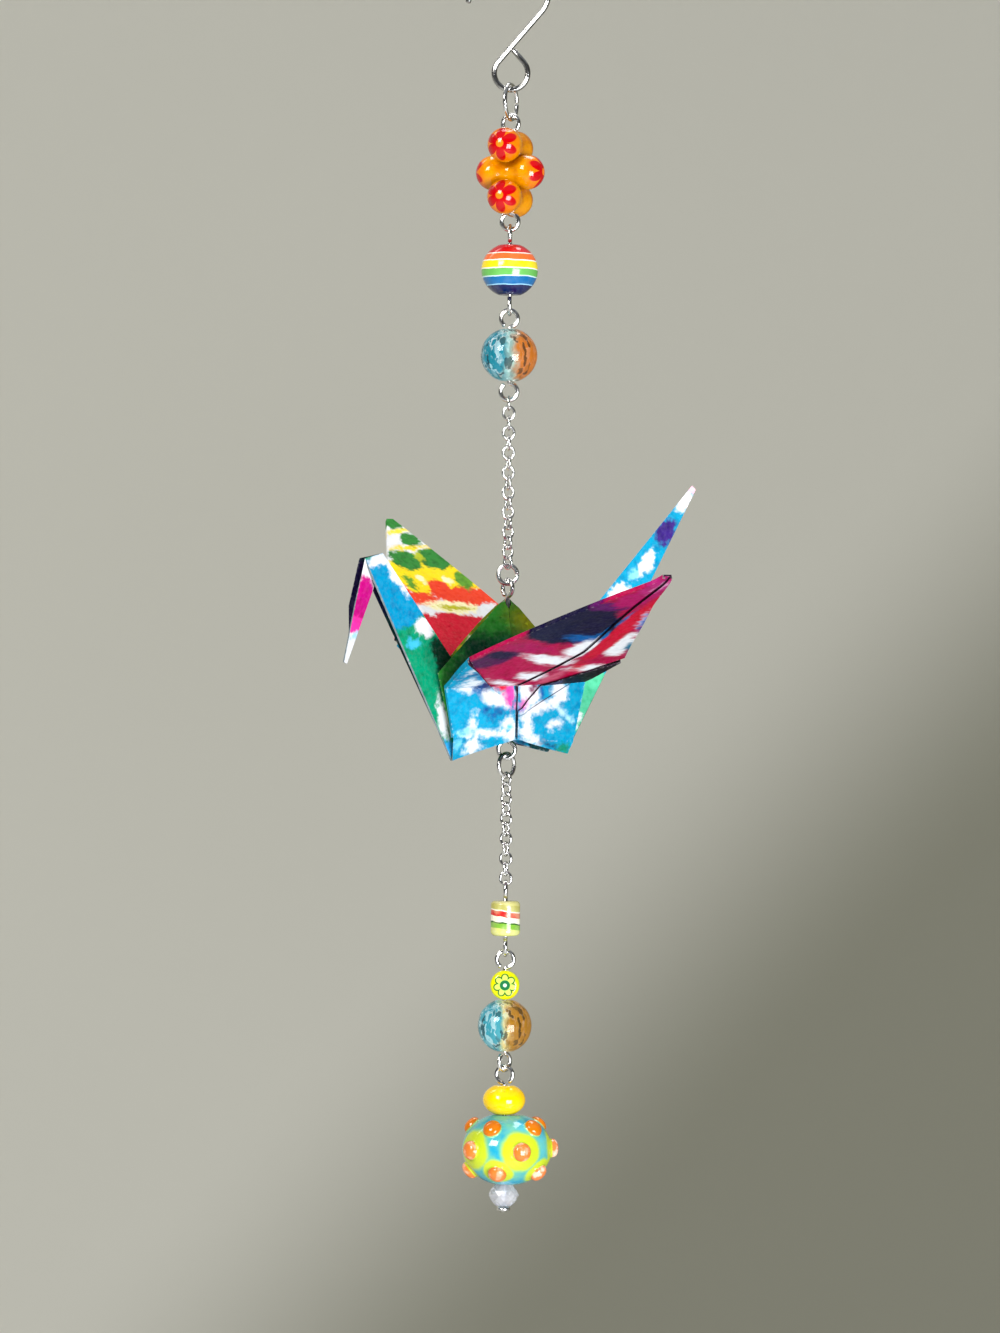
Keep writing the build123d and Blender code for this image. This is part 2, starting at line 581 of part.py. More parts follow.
class Hanging:
    """Keeps the pieces made so far, their joints, and the lowest loop that the next piece hangs in."""

    def __init__(self):
        self.parts = {}
        self.joints = []
        self.wire = HOOK_WIRE
        self.low = -HOOK_LENGTH
        self.turn = 0

    def hang(self, name, wire):
        """A swing joint at the lowest loop; returns the height of the next loop's highest wire."""
        way = radians(self.turn)
        self.joints.append((name + "_swing", name, "hinge", (0, 0, self.low), (cos(way), sin(way), 0)))
        return self.low + (self.wire + wire) / 2 + LOOP_PLAY

    def carry_on(self, wire, low, turn):
        self.wire, self.low, self.turn = wire, low, turn

    def ring(self, name, radius, turn):
        top = self.hang(name, RING_WIRE)
        self.parts[name] = jump_ring(radius, top, turn)
        self.carry_on(RING_WIRE, top - 2 * radius, turn)

    def chain(self, name, number, first_turn, twist):
        for k in range(number):
            link = f"{name}_{k + 1:02d}"
            turn = first_turn + 90 * (k % 2) + twist * k / (number - 1)
            top = self.hang(link, LINK_WIRE)
            self.parts[link] = chain_link(top, turn)
            self.carry_on(LINK_WIRE, top - LINK_LENGTH + LINK_WIRE, turn)

    def threaded(self, beads, under_eye):
        """Puts beads on a pin from the top; returns the height under the last one."""
        height = under_eye - BEAD_PLAY
        for name, bead, length in beads:
            self.parts[name] = Pos(0, 0, height - length / 2) * bead
            self.joints.append((name + "_spin", name, "spin", (0, 0, height - length / 2), (0, 0, 1)))
            height -= length + BEAD_PLAY
        return height

    def pin(self, name, turns, beads):
        upper_eye = self.hang(name, PIN_WIRE) - EYE_RADIUS
        end = self.threaded(beads, upper_eye - EYE_RADIUS - PIN_WIRE / 2)
        lower_eye = end - PIN_WIRE / 2 - EYE_RADIUS
        self.parts[name] = eye_pin(upper_eye, lower_eye, turns)
        self.carry_on(PIN_WIRE, lower_eye - EYE_RADIUS, turns[1])

    def crane_pin(self):
        upper_eye = self.hang("crane_pin", PIN_WIRE) - EYE_RADIUS
        peak = upper_eye - CRANE_DROP
        lower_eye = peak - PEAK_TO_LOWER_EYE
        self.parts["crane_pin"] = eye_pin(upper_eye, lower_eye, CRANE_PIN_TURNS)
        self.parts["crane"] = crane(peak)
        self.joints.append(("crane_spin", "crane", "spin", (0, 0, peak), (0, 0, 1)))
        self.carry_on(PIN_WIRE, lower_eye - EYE_RADIUS, CRANE_PIN_TURNS[1])

    def head_pin(self, name, turn, beads):
        upper_eye = self.hang(name, PIN_WIRE) - EYE_RADIUS
        end = self.threaded(beads, upper_eye - EYE_RADIUS - PIN_WIRE / 2)
        self.parts[name] = head_pin(upper_eye, end, turn)


string = Hanging()
string.parts["hook"] = hook()
string.ring("top_jump_ring", TOP_RING_RADIUS, TOP_RING_TURN)
peanuts = [
    (f"peanut_bead_{place}", peanut_bead(turn), PEANUT_WAIST)
    for place, turn in (("top", PEANUT_TURN), ("middle", PEANUT_TURN - 90), ("bottom", PEANUT_TURN))
]
string.pin("peanut_pin", PEANUT_TURNS, peanuts)
rainbow = round_bead(RAINBOW_WIDTH, RAINBOW_HEIGHT, RAINBOW_END, BEAD_STEPS)
string.pin("rainbow_pin", RAINBOW_TURNS, [("rainbow_bead", rainbow, RAINBOW_HEIGHT)])
crackle = round_bead(CRACKLE_WIDTH, CRACKLE_HEIGHT, CRACKLE_END, BEAD_STEPS)
string.pin("upper_crackle_pin", CRACKLE_TURNS, [("upper_crackle_bead", crackle, CRACKLE_HEIGHT)])
string.chain("upper_link", UPPER_LINKS, UPPER_CHAIN_TURN, UPPER_TWIST)
string.ring("crane_ring", CRANE_RING_RADIUS, CRANE_RING_TURN)
string.crane_pin()
string.ring("lower_ring", LOWER_RING_RADIUS, LOWER_RING_TURN)
string.chain("lower_link", LOWER_LINKS, LOWER_CHAIN_TURN, LOWER_TWIST)
string.pin("cane_pin", CANE_TURNS, [("cane_bead", cane_bead(), CANE_HEIGHT)])
lower_crackle = round_bead(LOWER_CRACKLE_WIDTH, LOWER_CRACKLE_HEIGHT, LOWER_CRACKLE_END, BEAD_STEPS)
flower_beads = [
    ("flower_bead", flower_bead(), FLOWER_WIDTH),
    ("lower_crackle_bead", lower_crackle, LOWER_CRACKLE_HEIGHT),
]
string.pin("flower_pin", FLOWER_TURNS, flower_beads)
spacer = round_bead(SPACER_WIDTH, SPACER_HEIGHT, SPACER_END, SPACER_STEPS)
bottom_beads = [
    ("spacer_bead", spacer, SPACER_HEIGHT),
    ("lampwork_bead", lampwork_bead(), LAMPWORK_HEIGHT),
    ("crystal_bead", crystal_bead(), CRYSTAL_HEIGHT),
]
string.head_pin("head_pin", HEAD_PIN_TURN, bottom_beads)

os.makedirs("parts", exist_ok=True)
for node, shape in string.parts.items():
    export_step(shape, f"parts/{node}.step")
    print("part", node, len(shape.solids()), round(shape.volume, 3))
for joint, node, kind, place, axis in string.joints:
    print("joint", joint, node, kind, *(round(value, 4) for value in place + axis))
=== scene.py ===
# %% [markdown]
# # Origami crane ornament
# A crane folded from one square of dyed paper hangs in the middle of a string of glass beads. Wire pins
# with an eye at each end, jump rings and fine cable chain join the pieces, and a wire hook carries it all.
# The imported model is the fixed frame: every piece made here takes its place and size from a node there.

# %% Load the frame
import json
from math import acos, cos, pi, radians, sin, tan

import bmesh
import bpy
import numpy as np
from mathutils import Matrix, Vector


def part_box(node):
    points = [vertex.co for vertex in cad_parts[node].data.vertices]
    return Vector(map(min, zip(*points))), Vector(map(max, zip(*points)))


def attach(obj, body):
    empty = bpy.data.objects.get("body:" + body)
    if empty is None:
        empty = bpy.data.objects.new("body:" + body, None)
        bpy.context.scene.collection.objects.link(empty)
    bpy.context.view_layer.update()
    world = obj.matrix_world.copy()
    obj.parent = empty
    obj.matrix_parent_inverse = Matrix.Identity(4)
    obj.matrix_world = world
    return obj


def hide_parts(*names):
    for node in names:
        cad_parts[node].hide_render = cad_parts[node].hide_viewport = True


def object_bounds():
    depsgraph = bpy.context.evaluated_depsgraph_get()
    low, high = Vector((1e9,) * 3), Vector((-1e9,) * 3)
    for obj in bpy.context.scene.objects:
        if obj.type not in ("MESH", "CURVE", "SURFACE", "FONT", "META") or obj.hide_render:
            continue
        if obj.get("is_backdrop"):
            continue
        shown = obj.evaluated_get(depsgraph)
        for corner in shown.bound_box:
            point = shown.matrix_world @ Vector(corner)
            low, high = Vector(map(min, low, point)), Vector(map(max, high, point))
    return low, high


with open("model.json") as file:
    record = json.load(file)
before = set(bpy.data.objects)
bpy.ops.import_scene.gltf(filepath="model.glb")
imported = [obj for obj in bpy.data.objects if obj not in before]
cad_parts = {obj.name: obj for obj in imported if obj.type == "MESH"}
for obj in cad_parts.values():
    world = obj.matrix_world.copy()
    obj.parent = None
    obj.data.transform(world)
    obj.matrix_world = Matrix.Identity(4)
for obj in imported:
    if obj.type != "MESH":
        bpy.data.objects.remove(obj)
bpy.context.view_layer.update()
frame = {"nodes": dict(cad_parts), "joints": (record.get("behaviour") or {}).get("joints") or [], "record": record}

MM = 0.001

# %% [markdown]
# ## Measuring the nodes
# A turned bead needs only its middle and its size, which its box gives. A loop of wire also needs to know
# which way it faces. Its points spread furthest along the plane it was bent in, so the direction of
# largest spread, seen from above, gives the turn without a second table of angles.

# %% Places and turns from the frame
behaviour = frame["record"]["behaviour"]
body_of = {node: body for body, nodes in behaviour["bodies"].items() for node in nodes}


def corners_of(node):
    """All corners of a node, in millimetres."""
    return np.array([corner.co for corner in frame["nodes"][node].data.vertices]) / MM


def middle_and_size(node):
    low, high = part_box(node)
    return np.array(low + high) / 2 / MM, np.array(high - low) / MM


def turn_of(corners):
    """The angle about the vertical, in radians, of the plane that a bent wire lies in."""
    flat = corners[:, :2] - corners[:, :2].mean(0)
    spread, ways = np.linalg.eigh(flat.T @ flat)
    way = ways[:, np.argmax(spread)]
    return float(np.arctan2(way[1], way[0]))


# %% [markdown]
# ## Making pieces
# Each piece is a mesh in millimetres, scaled to metres, that rides on its node's body and stands for the
# node. Beads keep a copy of their own coordinates as an attribute called `place`, measured from the bead's
# middle, so a material can paint stripes and petals that stay on the bead when it spins.

# %% Helpers that build a mesh and hang it on the string


def store(mesh, name, values):
    """Keeps a number or a vector for each point of a mesh, for its finish to read."""
    values = np.asarray(values, np.float32)
    kind, key = ("FLOAT_VECTOR", "vector") if values.ndim == 2 else ("FLOAT", "value")
    kept = mesh.attributes.get(name) or mesh.attributes.new(name, kind, "POINT")
    kept.data.foreach_set(key, values.ravel())


def shade(mesh, smooth=True):
    mesh.polygons.foreach_set("use_smooth", np.full(len(mesh.polygons), smooth))


def placed(name, data):
    """A new object in the scene."""
    thing = bpy.data.objects.new(name, data)
    bpy.context.scene.collection.objects.link(thing)
    return thing


def hang(name, points, faces, node, materials, place=None):
    """A smooth mesh piece that stands for a node, moves with its body and takes a finish from a slot."""
    mesh = bpy.data.meshes.new(name)
    mesh.from_pydata((np.asarray(points) * MM).tolist(), [], faces)
    for material in materials:
        mesh.materials.append(material)
    shade(mesh)
    if place is not None:
        store(mesh, "place", place)
    piece = placed(name, mesh)
    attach(piece, body_of[node])
    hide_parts(node)
    return piece


def ring_faces(rings, sides, closed):
    """Quads between rings of equally many points, and from the last ring to the first if closed."""
    faces = []
    for ring in range(rings if closed else rings - 1):
        here, there = ring * sides, (ring + 1) % rings * sides
        for side in range(sides):
            after = (side + 1) % sides
            faces.append((here + side, here + after, there + after, there + side))
    return faces


def capped(rings, sides):
    """Quads between rings, and a flat cap on the first ring and on the last."""
    last = (rings - 1) * sides
    caps = [tuple(range(sides))[::-1], tuple(range(last, last + sides))]
    return ring_faces(rings, sides, closed=False) + caps


def angles_round(sides):
    return [2 * pi * k / sides for k in range(sides)]


# %% [markdown]
# ## Painting with nodes
# Every finish is a node tree. These helpers add a node and wire it in one line, so a material reads as
# a list of what it does. Colours are written as 0 to 255, as on a paint chart, and turned into the linear
# values that the shader works in.

# %% Node helpers


def srgb(red, green, blue):
    def linear(level):
        level /= 255
        return level / 12.92 if level <= 0.04045 else ((level + 0.055) / 1.055) ** 2.4

    return (linear(red), linear(green), linear(blue), 1.0)


def add(tree, kind, **settings):
    node = tree.nodes.new(kind)
    for setting, value in settings.items():
        setattr(node, setting, value)
    return node


def feed(tree, socket, value):
    """Fills an input from another node's output, or with a plain number, vector or colour."""
    if isinstance(value, bpy.types.NodeSocket):
        tree.links.new(value, socket)
    else:
        socket.default_value = value


def made(tree, kind, inputs, output=0, **settings):
    """Adds a node, fills its inputs, given by name or number, and returns one of its outputs."""
    node = add(tree, kind, **settings)
    for socket, value in inputs.items():
        feed(tree, node.inputs[socket], value)
    return node.outputs[output]


def maths(tree, operation, *values):
    return made(tree, "ShaderNodeMath", dict(enumerate(values)), operation=operation)


def times(tree, *values):
    return maths(tree, "MULTIPLY", *values)


def plus(tree, *values):
    return maths(tree, "ADD", *values)


def less(tree, *values):
    return maths(tree, "SUBTRACT", *values)


def vectors(tree, operation, *values):
    output = "Value" if operation == "LENGTH" else "Vector"
    return made(tree, "ShaderNodeVectorMath", dict(enumerate(values)), output, operation=operation)


def step(tree, value, start, end):
    """0 before start and 1 after end, with a soft step between; start may be the larger."""
    inputs = {"Value": value, "From Min": start, "From Max": end}
    return made(tree, "ShaderNodeMapRange", inputs, "Result", interpolation_type="SMOOTHSTEP")


def between(tree, value, low, high):
    """Spreads 0 to 1 over a range, for a roughness that follows a noise."""
    return made(tree, "ShaderNodeMapRange", {"Value": value, "To Min": low, "To Max": high}, "Result")


def mixed(tree, share, under, over):
    return made(tree, "ShaderNodeMix", {0: share, 6: under, 7: over}, 2, data_type="RGBA")


def noise(tree, vector, scale, detail=2.0, output="Fac"):
    return made(tree, "ShaderNodeTexNoise", {"Vector": vector, "Scale": scale, "Detail": detail}, output)


def wobble(tree, vector, scale, detail, amount):
    """Noise that swings about zero, by up to about half of the amount each way."""
    return times(tree, less(tree, noise(tree, vector, scale, detail), 0.5), amount)


def split(tree, vector):
    node = add(tree, "ShaderNodeSeparateXYZ")
    feed(tree, node.inputs[0], vector)
    return node.outputs[0], node.outputs[1], node.outputs[2]


def joined(tree, *axes):
    return made(tree, "ShaderNodeCombineXYZ", dict(enumerate(axes)))


def stored(tree, name, output="Vector"):
    return add(tree, "ShaderNodeAttribute", attribute_name=name).outputs[output]


def finish(name, **sockets):
    """A new material, its tree and its main shader, with plain values set on the shader's own sockets."""
    material = bpy.data.materials.new(name)
    material.use_nodes = True
    shader = material.node_tree.nodes["Principled BSDF"]
    for socket, value in sockets.items():
        shader.inputs[socket.replace("_", " ")].default_value = value
    return material, material.node_tree, shader.inputs


def bumped(tree, shader, height, depth):
    """Raises the shader's surface by a height field, by at most this many millimetres."""
    node = add(tree, "ShaderNodeBump")
    node.inputs["Distance"].default_value = depth * MM
    feed(tree, node.inputs["Height"], height)
    feed(tree, shader["Normal"], node.outputs["Normal"])


def new_group(name, inputs, outputs):
    group = bpy.data.node_groups.new(name, "ShaderNodeTree")
    for direction, sockets in (("INPUT", inputs), ("OUTPUT", outputs)):
        for socket, kind in sockets.items():
            group.interface.new_socket(name=socket, in_out=direction, socket_type="NodeSocket" + kind)
    return group, add(group, "NodeGroupInput").outputs, add(group, "NodeGroupOutput").inputs


def use(tree, group, **values):
    node = add(tree, "ShaderNodeGroup", node_tree=group)
    for socket, value in values.items():
        feed(tree, node.inputs[socket], value)
    return node.outputs


# %% [markdown]
# ## Camera
# The ornament hangs level with the lens, so the camera looks straight along +Y from about two thirds of
# a metre, with a long lens. It leans by a fraction of a degree, so the string drifts a little to the right.
# The hook's crook reaches above the frame.

# %% Camera
PHOTO_LONG_SIDE = 1333  # pixels
FOCAL_PIXELS = 4669
CAMERA_PLACE = (-1.0, -667, -102.2)  # mm
CAMERA_LEAN = 0.38  # degrees

camera_data = bpy.data.cameras.new("camera")
camera_data.lens = camera_data.sensor_width * FOCAL_PIXELS / PHOTO_LONG_SIDE
camera = placed("camera", camera_data)
camera.location = Vector(CAMERA_PLACE) * MM
camera.rotation_euler = (
    Matrix.Rotation(radians(90), 3, "X") @ Matrix.Rotation(radians(CAMERA_LEAN), 3, "Z")
).to_euler()
bpy.context.scene.camera = camera
bpy.context.scene.view_settings.view_transform = "Standard"
print("lens, mm:", round(camera_data.lens, 1))

# %% [markdown]
# ## Studio
# Silver wire shows what is around it more than its own colour. The ornament hangs in a bowl, a floor that
# curves up into a wall on all sides. The wall behind it is pale, with painted shade that darkens it toward a
# corner low on the right. The side that the camera stands on is dark above, like a room, and pale below, like
# a floor. So the wire gets dark streaks between the bright ones of the soft lamps.

# %% The studio bowl
FLOOR_HEIGHT = -0.8  # m
FLOOR_RADIUS = 1.5
WALL_CURVE = 0.8
WALL_TOP = 1.5
BOWL_SIDES = 64
FLOOR_RINGS = (0.02, 0.7)  # m, radii
PAINTED_CORNER_SHADE = (0.22, 0.52)  # m, where painted shade darkens the wall toward its lower right corner
BEHIND = (-0.3, 0.9)  # m in depth, where the camera's side passes into the wall
LOW_FRONT = (-0.1, -0.5)  # m in height, where the camera's side turns pale

curve = [radians(-90 + 90 * k / 12) for k in range(13)]
bowl_profile = [(ring, FLOOR_HEIGHT) for ring in FLOOR_RINGS]
bowl_profile += [
    (FLOOR_RADIUS + WALL_CURVE * cos(a), FLOOR_HEIGHT + WALL_CURVE * (1 + sin(a))) for a in curve
]
bowl_profile.append((FLOOR_RADIUS + WALL_CURVE, WALL_TOP))
bowl_mesh = bpy.data.meshes.new("studio_bowl")
bowl_points = [(r * cos(a), r * sin(a), z) for r, z in bowl_profile for a in angles_round(BOWL_SIDES)]
bowl_faces = ring_faces(len(bowl_profile), BOWL_SIDES, closed=False) + [tuple(range(BOWL_SIDES))]
bowl_mesh.from_pydata(bowl_points, [], bowl_faces)
shade(bowl_mesh)
bowl = placed("studio_bowl", bowl_mesh)
bowl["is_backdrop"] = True

bowl_paint, tree, shader = finish("studio paint", Roughness=0.9, Specular_IOR_Level=0.1)
texture = add(tree, "ShaderNodeTexCoord").outputs["Object"]
side, depth, height = split(tree, texture)
pale = mixed(tree, noise(tree, texture, 1.1), srgb(214, 212, 202), srgb(224, 222, 212))
# painted shade: the wall darkens to a deeper grey toward its lower right corner
corner = step(tree, less(tree, side, height), *PAINTED_CORNER_SHADE)
wall = mixed(tree, corner, pale, srgb(151, 150, 136))
behind = step(tree, depth, *BEHIND)
low_front = step(tree, height, *LOW_FRONT)
front = mixed(tree, low_front, srgb(104, 104, 106), srgb(200, 200, 198))
feed(tree, shader["Base Color"], mixed(tree, behind, front, wall))
bowl_mesh.materials.append(bowl_paint)
print("studio bowl faces:", len(bowl_mesh.polygons))

# %% [markdown]
# ## Lamps
# Two large lamps stand on the camera's side, one above on the left and one low on the right, as soft as
# window light. A third lights the bird from above and behind, and a fourth is turned to the wall. A little
# grey light from all around fills the shadows.

# %% Soft lamps
LAMPS = (  # name, place in m, width in m, watts, colour
    ("key lamp", (-0.75, -0.95, 0.55), 0.5, 16.0, srgb(255, 252, 246)),
    ("fill lamp", (0.5, -1.0, -0.33), 0.6, 19.0, srgb(246, 250, 255)),
    ("top lamp", (0.1, 0.35, 1.0), 0.6, 8.0, srgb(255, 255, 255)),
    ("wall lamp", (-0.9, 0.6, 1.1), 0.8, 8.0, srgb(255, 254, 248)),
)
AIM = Vector((0, 0, -0.1))
WALL_AIM = Vector((-0.2, 2.3, 0.0))
AIR_STRENGTH = 0.35
for name, place, width, watts, colour in LAMPS:
    aim = WALL_AIM if name == "wall lamp" else AIM
    lamp_data = bpy.data.lights.new(name, "AREA")
    lamp_data.size = width
    lamp_data.energy = watts
    lamp_data.color = colour[:3]
    lamp = placed(name, lamp_data)
    lamp.location = place
    lamp.rotation_euler = (aim - Vector(place)).to_track_quat("-Z", "Y").to_euler()
world = bpy.data.worlds.new("studio air")
world.use_nodes = True
air = world.node_tree.nodes["Background"].inputs
air["Color"].default_value = srgb(214, 220, 226)
air["Strength"].default_value = AIR_STRENGTH
bpy.context.scene.world = world
print("lamps:", len(LAMPS))

# %% [markdown]
# ## Silver wire
# Plated wire is bright metal with a faint grey film and the fine marks of drawing and of the pliers. The
# marks come from noise that is read in the piece's own coordinates. They change the roughness and a very
# shallow bump, and the film darkens the colour in patches. The hook looks darker than the string, so the same
# function makes a second, greyer copy of the silver for it, as painted shade.

# %% Silver, and silver in painted shade for the hook


def drawn_wire(name, bright, filmed):
    """Drawn and plated wire, bright with a darker film in patches."""
    material, tree, shader = finish(name, Metallic=1.0)
    own = add(tree, "ShaderNodeTexCoord").outputs["Object"]
    film = step(tree, noise(tree, own, 700, 3.0), 0.35, 0.75)
    feed(tree, shader["Base Color"], mixed(tree, film, bright, filmed))
    marks = noise(tree, own, 2600, 2.0)
    feed(tree, shader["Roughness"], between(tree, marks, 0.08, 0.24))
    bumped(tree, shader, marks, 0.02)
    return material


silver = drawn_wire("silver wire", srgb(238, 237, 235), srgb(206, 205, 203))
# painted shade: the same silver, greyer, for the hook's darker look
shaded_hook_silver = drawn_wire("hook silver in painted shade", srgb(196, 195, 193), srgb(146, 145, 143))
print("finishes:", silver.name, "and", shaded_hook_silver.name)

# %% [markdown]
# ## Bending wire
# A bent wire could be a Blender curve with a bevel. A tube made ring by ring gives the same shape and
# lets the wire's thickness change along its length, which the flat head of the lowest pin needs. Every
# wire here is bent in one plane, so the plane's normal and the path's own direction give each ring its two
# axes. On a pin whose two eyes are turned apart, that normal turns along the straight shaft.

# %% Tube along a bent path
WIRE_SIDES = 16
END_REACH, END_SHRINK = (0.25, 0.4), (0.8, 0.35)  # of the two small rings at a filed end


def arc(middle, radius, start, turn, steps=28):
    """Points (across, up) on an arc, from a start angle and a turn in degrees; radius may be a pair."""
    wide, high = radius if isinstance(radius, tuple) else (radius, radius)
    angles = [radians(start + turn * k / steps) for k in range(steps + 1)]
    return [(middle[0] + wide * cos(a), middle[1] + high * sin(a)) for a in angles]


def rounded_ends(path, turns, widths):
    """Adds two small rings at each end of an open wire, so that its ends look filed."""
    ends = []
    for end, inner in ((0, 1), (-1, -2)):
        way = (path[end] - path[inner]) / np.linalg.norm(path[end] - path[inner])
        radius = widths[end] / 2
        ends.append([path[end] + way * radius * reach for reach in END_REACH])
    path = np.array([ends[0][1], ends[0][0], *path, ends[1][0], ends[1][1]])
    turns = [turns[0]] * 2 + list(turns) + [turns[-1]] * 2
    lead = [widths[0] * s for s in reversed(END_SHRINK)]
    return path, turns, lead + list(widths) + [widths[-1] * s for s in END_SHRINK]


def wire(path, turns, widths, closed=False):
    """A round wire along points (across, up), each in a plane turned about the vertical."""
    path = np.array([(a * cos(t), a * sin(t), up) for (a, up), t in zip(path, turns)])
    if not closed:
        path, turns, widths = rounded_ends(path, turns, widths)
    if closed:
        ahead = np.roll(path, -1, 0) - np.roll(path, 1, 0)
    else:
        ahead = np.gradient(path, axis=0)
    ahead /= np.linalg.norm(ahead, axis=1)[:, None]
    normal = np.array([(-sin(t), cos(t), 0) for t in turns])
    beside = np.cross(ahead, normal)
    points = [
        p + w / 2 * (cos(c) * n + sin(c) * b)
        for p, n, b, w in zip(path, normal, beside, widths)
        for c in angles_round(WIRE_SIDES)
    ]
    if closed:
        return points, ring_faces(len(path), WIRE_SIDES, closed)
    return points, capped(len(path), WIRE_SIDES)


def hang_wire(node, path, turns, widths, closed=False, material=silver):
    """A bent wire in the place of its node; one turn or one width may serve for the whole path."""
    turns = turns if isinstance(turns, list) else [turns] * len(path)
    widths = widths if isinstance(widths, list) else [widths] * len(path)
    points, faces = wire(path, turns, widths, closed)
    return hang(node + "_wire", points, faces, node, [material])


# %% [markdown]
# ## Hook
# The hook is one length of thick wire: a crook that rests on a nail, a slanted run, and a drop-shaped loop
# whose end comes back to the run. Its straight runs and arcs meet without a corner, as in real pliers work.

# %% Hook
HOOK_WIRE = 0.8
CROOK_RADIUS = 5.3
CROOK_TIP = (0.9, 2.4)  # how far the crook's end flares out and drops
HOOK_LEAN = 40.4  # of the slanted run, from the vertical
HOOK_BEND = 4.0
HOOK_LOOP_RADIUS = 2.4
HOOK_LOOP_TURN = 262
HOOK_LENGTH = 19.8
HOOK_END_GAP = 0.2

lean = radians(HOOK_LEAN)
crook_height = HOOK_WIRE / 2 - CROOK_RADIUS
loop_height = HOOK_LOOP_RADIUS - HOOK_LENGTH
loop = arc((0, loop_height), HOOK_LOOP_RADIUS, 180 - HOOK_LEAN, HOOK_LOOP_TURN, 40)
run_top = loop[0][1] + (CROOK_RADIUS - loop[0][0]) / tan(lean)
bend_reach = HOOK_BEND * tan(lean / 2)
bend = arc((CROOK_RADIUS - HOOK_BEND, run_top + bend_reach), HOOK_BEND, 0, -HOOK_LEAN, 10)
closing = radians(HOOK_LOOP_TURN - 180)
end_run = (HOOK_LOOP_RADIUS * (1 + cos(closing)) - HOOK_WIRE / 2 - HOOK_END_GAP) / sin(closing)
heading = radians(270 - HOOK_LEAN + HOOK_LOOP_TURN)
tip = (-CROOK_RADIUS - CROOK_TIP[0], crook_height - CROOK_TIP[1])
loop_end = (loop[-1][0] + end_run * cos(heading), loop[-1][1] + end_run * sin(heading))
path = [tip] + arc((0, crook_height), CROOK_RADIUS, 180, -180, 40) + bend + loop + [loop_end]
hook = hang_wire("hook", path, 0, HOOK_WIRE, material=shaded_hook_silver)
print("hook wire points:", len(hook.data.vertices))

# %% [markdown]
# ## Jump rings and chain
# A jump ring is a full turn of wire whose two ends butt together, and the butt shows as a fine gap.

# %% Jump rings
RING_WIRE = 0.65
BUTT_GAP = 8  # degrees of the turn left open

for node in ("top_jump_ring", "crane_ring", "lower_ring"):
    middle, size = middle_and_size(node)
    radius = (size[2] - RING_WIRE) / 2
    path = arc((0, middle[2]), radius, BUTT_GAP / 2, 360 - BUTT_GAP, 44)
    hang_wire(node, path, turn_of(corners_of(node)), RING_WIRE)
    print(node, "radius, mm:", round(radius, 2))

# %% [markdown]
# A chain link is soldered shut, a little longer than wide. One loop makes all of the links, each turned
# the way its own node is turned, so that the chain keeps its slow twist.

# %% Chain links
LINK_WIRE = 0.42
LINK_WIDTH = 2.0
LINK_STEPS = 32

links = sorted(node for node in body_of if "_link_" in node)
for node in links:
    middle, size = middle_and_size(node)
    radii = ((LINK_WIDTH - LINK_WIRE) / 2, (size[2] - LINK_WIRE) / 2)
    path = arc((0, middle[2]), radii, 0, 360, LINK_STEPS)[:-1]
    hang_wire(node, path, turn_of(corners_of(node)), LINK_WIRE, closed=True)
print("chain links:", len(links))

# %% [markdown]
# ## Eye pins
# A pin is straight wire with an eye turned at each end. The wire leaves the axis in a short kink, goes
# round, and stops just before it meets itself, so the eye stands in line with the beads. The lowest pin has
# a flat head instead of a lower eye: there the tube simply grows wider and closes.

# %% Eye pins and the head pin
PIN_WIRE = 0.65
EYE_RADIUS = 1.2
EYE_START = 14  # degrees round from the shaft, where the eye's round begins
EYE_TURN = 310
SHAFT_STEPS = 10
EYE_KINK = ((0, -1.25), (0.025, -1.13), (0.11, -1.04))  # across and up, in eye radii
PIN_HEAD = ((0.72, 0.65), (0.66, 1.3), (0.5, 1.9), (0.25, 2.0), (0.08, 1.75), (0.0, 1.2))  # height, width


def eye_path(middle, upward):
    """The eye from the shaft's end round to its own end, above (upward 1) or below (-1) the shaft."""
    turned = arc((0, 0), EYE_RADIUS, -90 + EYE_START, EYE_TURN, 40)
    kink = [(EYE_RADIUS * across, EYE_RADIUS * up) for across, up in EYE_KINK]
    return [(across, middle + upward * up) for across, up in kink + turned]


pins = sorted(node for node in body_of if node.endswith("_pin"))
for node in pins:
    corners = corners_of(node)
    low, high = corners[:, 2].min(), corners[:, 2].max()
    eye_reach = 2 * EYE_RADIUS + PIN_WIRE
    upper = eye_path(high - eye_reach / 2, 1)
    upper_turn = turn_of(corners[corners[:, 2] > high - eye_reach])
    if node == "head_pin":
        lower = [(0, low + height) for height, width in reversed(PIN_HEAD)]
        lower_turn = upper_turn
        lower_widths = [width for height, width in reversed(PIN_HEAD)]
    else:
        lower = eye_path(low + eye_reach / 2, -1)[::-1]
        lower_turn = turn_of(corners[corners[:, 2] < low + eye_reach])
        lower_widths = [PIN_WIRE] * len(lower)
    twist = (upper_turn - lower_turn + pi / 2) % pi - pi / 2
    shares = [k / SHAFT_STEPS for k in range(1, SHAFT_STEPS)]
    shaft = [(0, lower[-1][1] + (upper[0][1] - lower[-1][1]) * share) for share in shares]
    path = lower + shaft + upper
    turns = [lower_turn] * len(lower) + [lower_turn + twist * share for share in shares]
    turns += [lower_turn + twist] * len(upper)
    widths = lower_widths + [PIN_WIRE] * (len(shaft) + len(upper))
    hang_wire(node, path, turns, widths)
print("pins:", len(pins))

# %% [markdown]
# ## Turned beads
# A glass bead is wound or moulded round a rod, so its form is a lathe: an outline that is spun about
# the hole. The outline runs down the outside, over a small rounded lip, and back up through the hole, which
# makes a closed ring of glass with a real bore. Light bends through that bore as it does in the real bead.

# %% Lathe with a bore
BORE = 0.85
BEAD_SIDES = 96
LIP = 0.12  # rounding where the end meets the bore


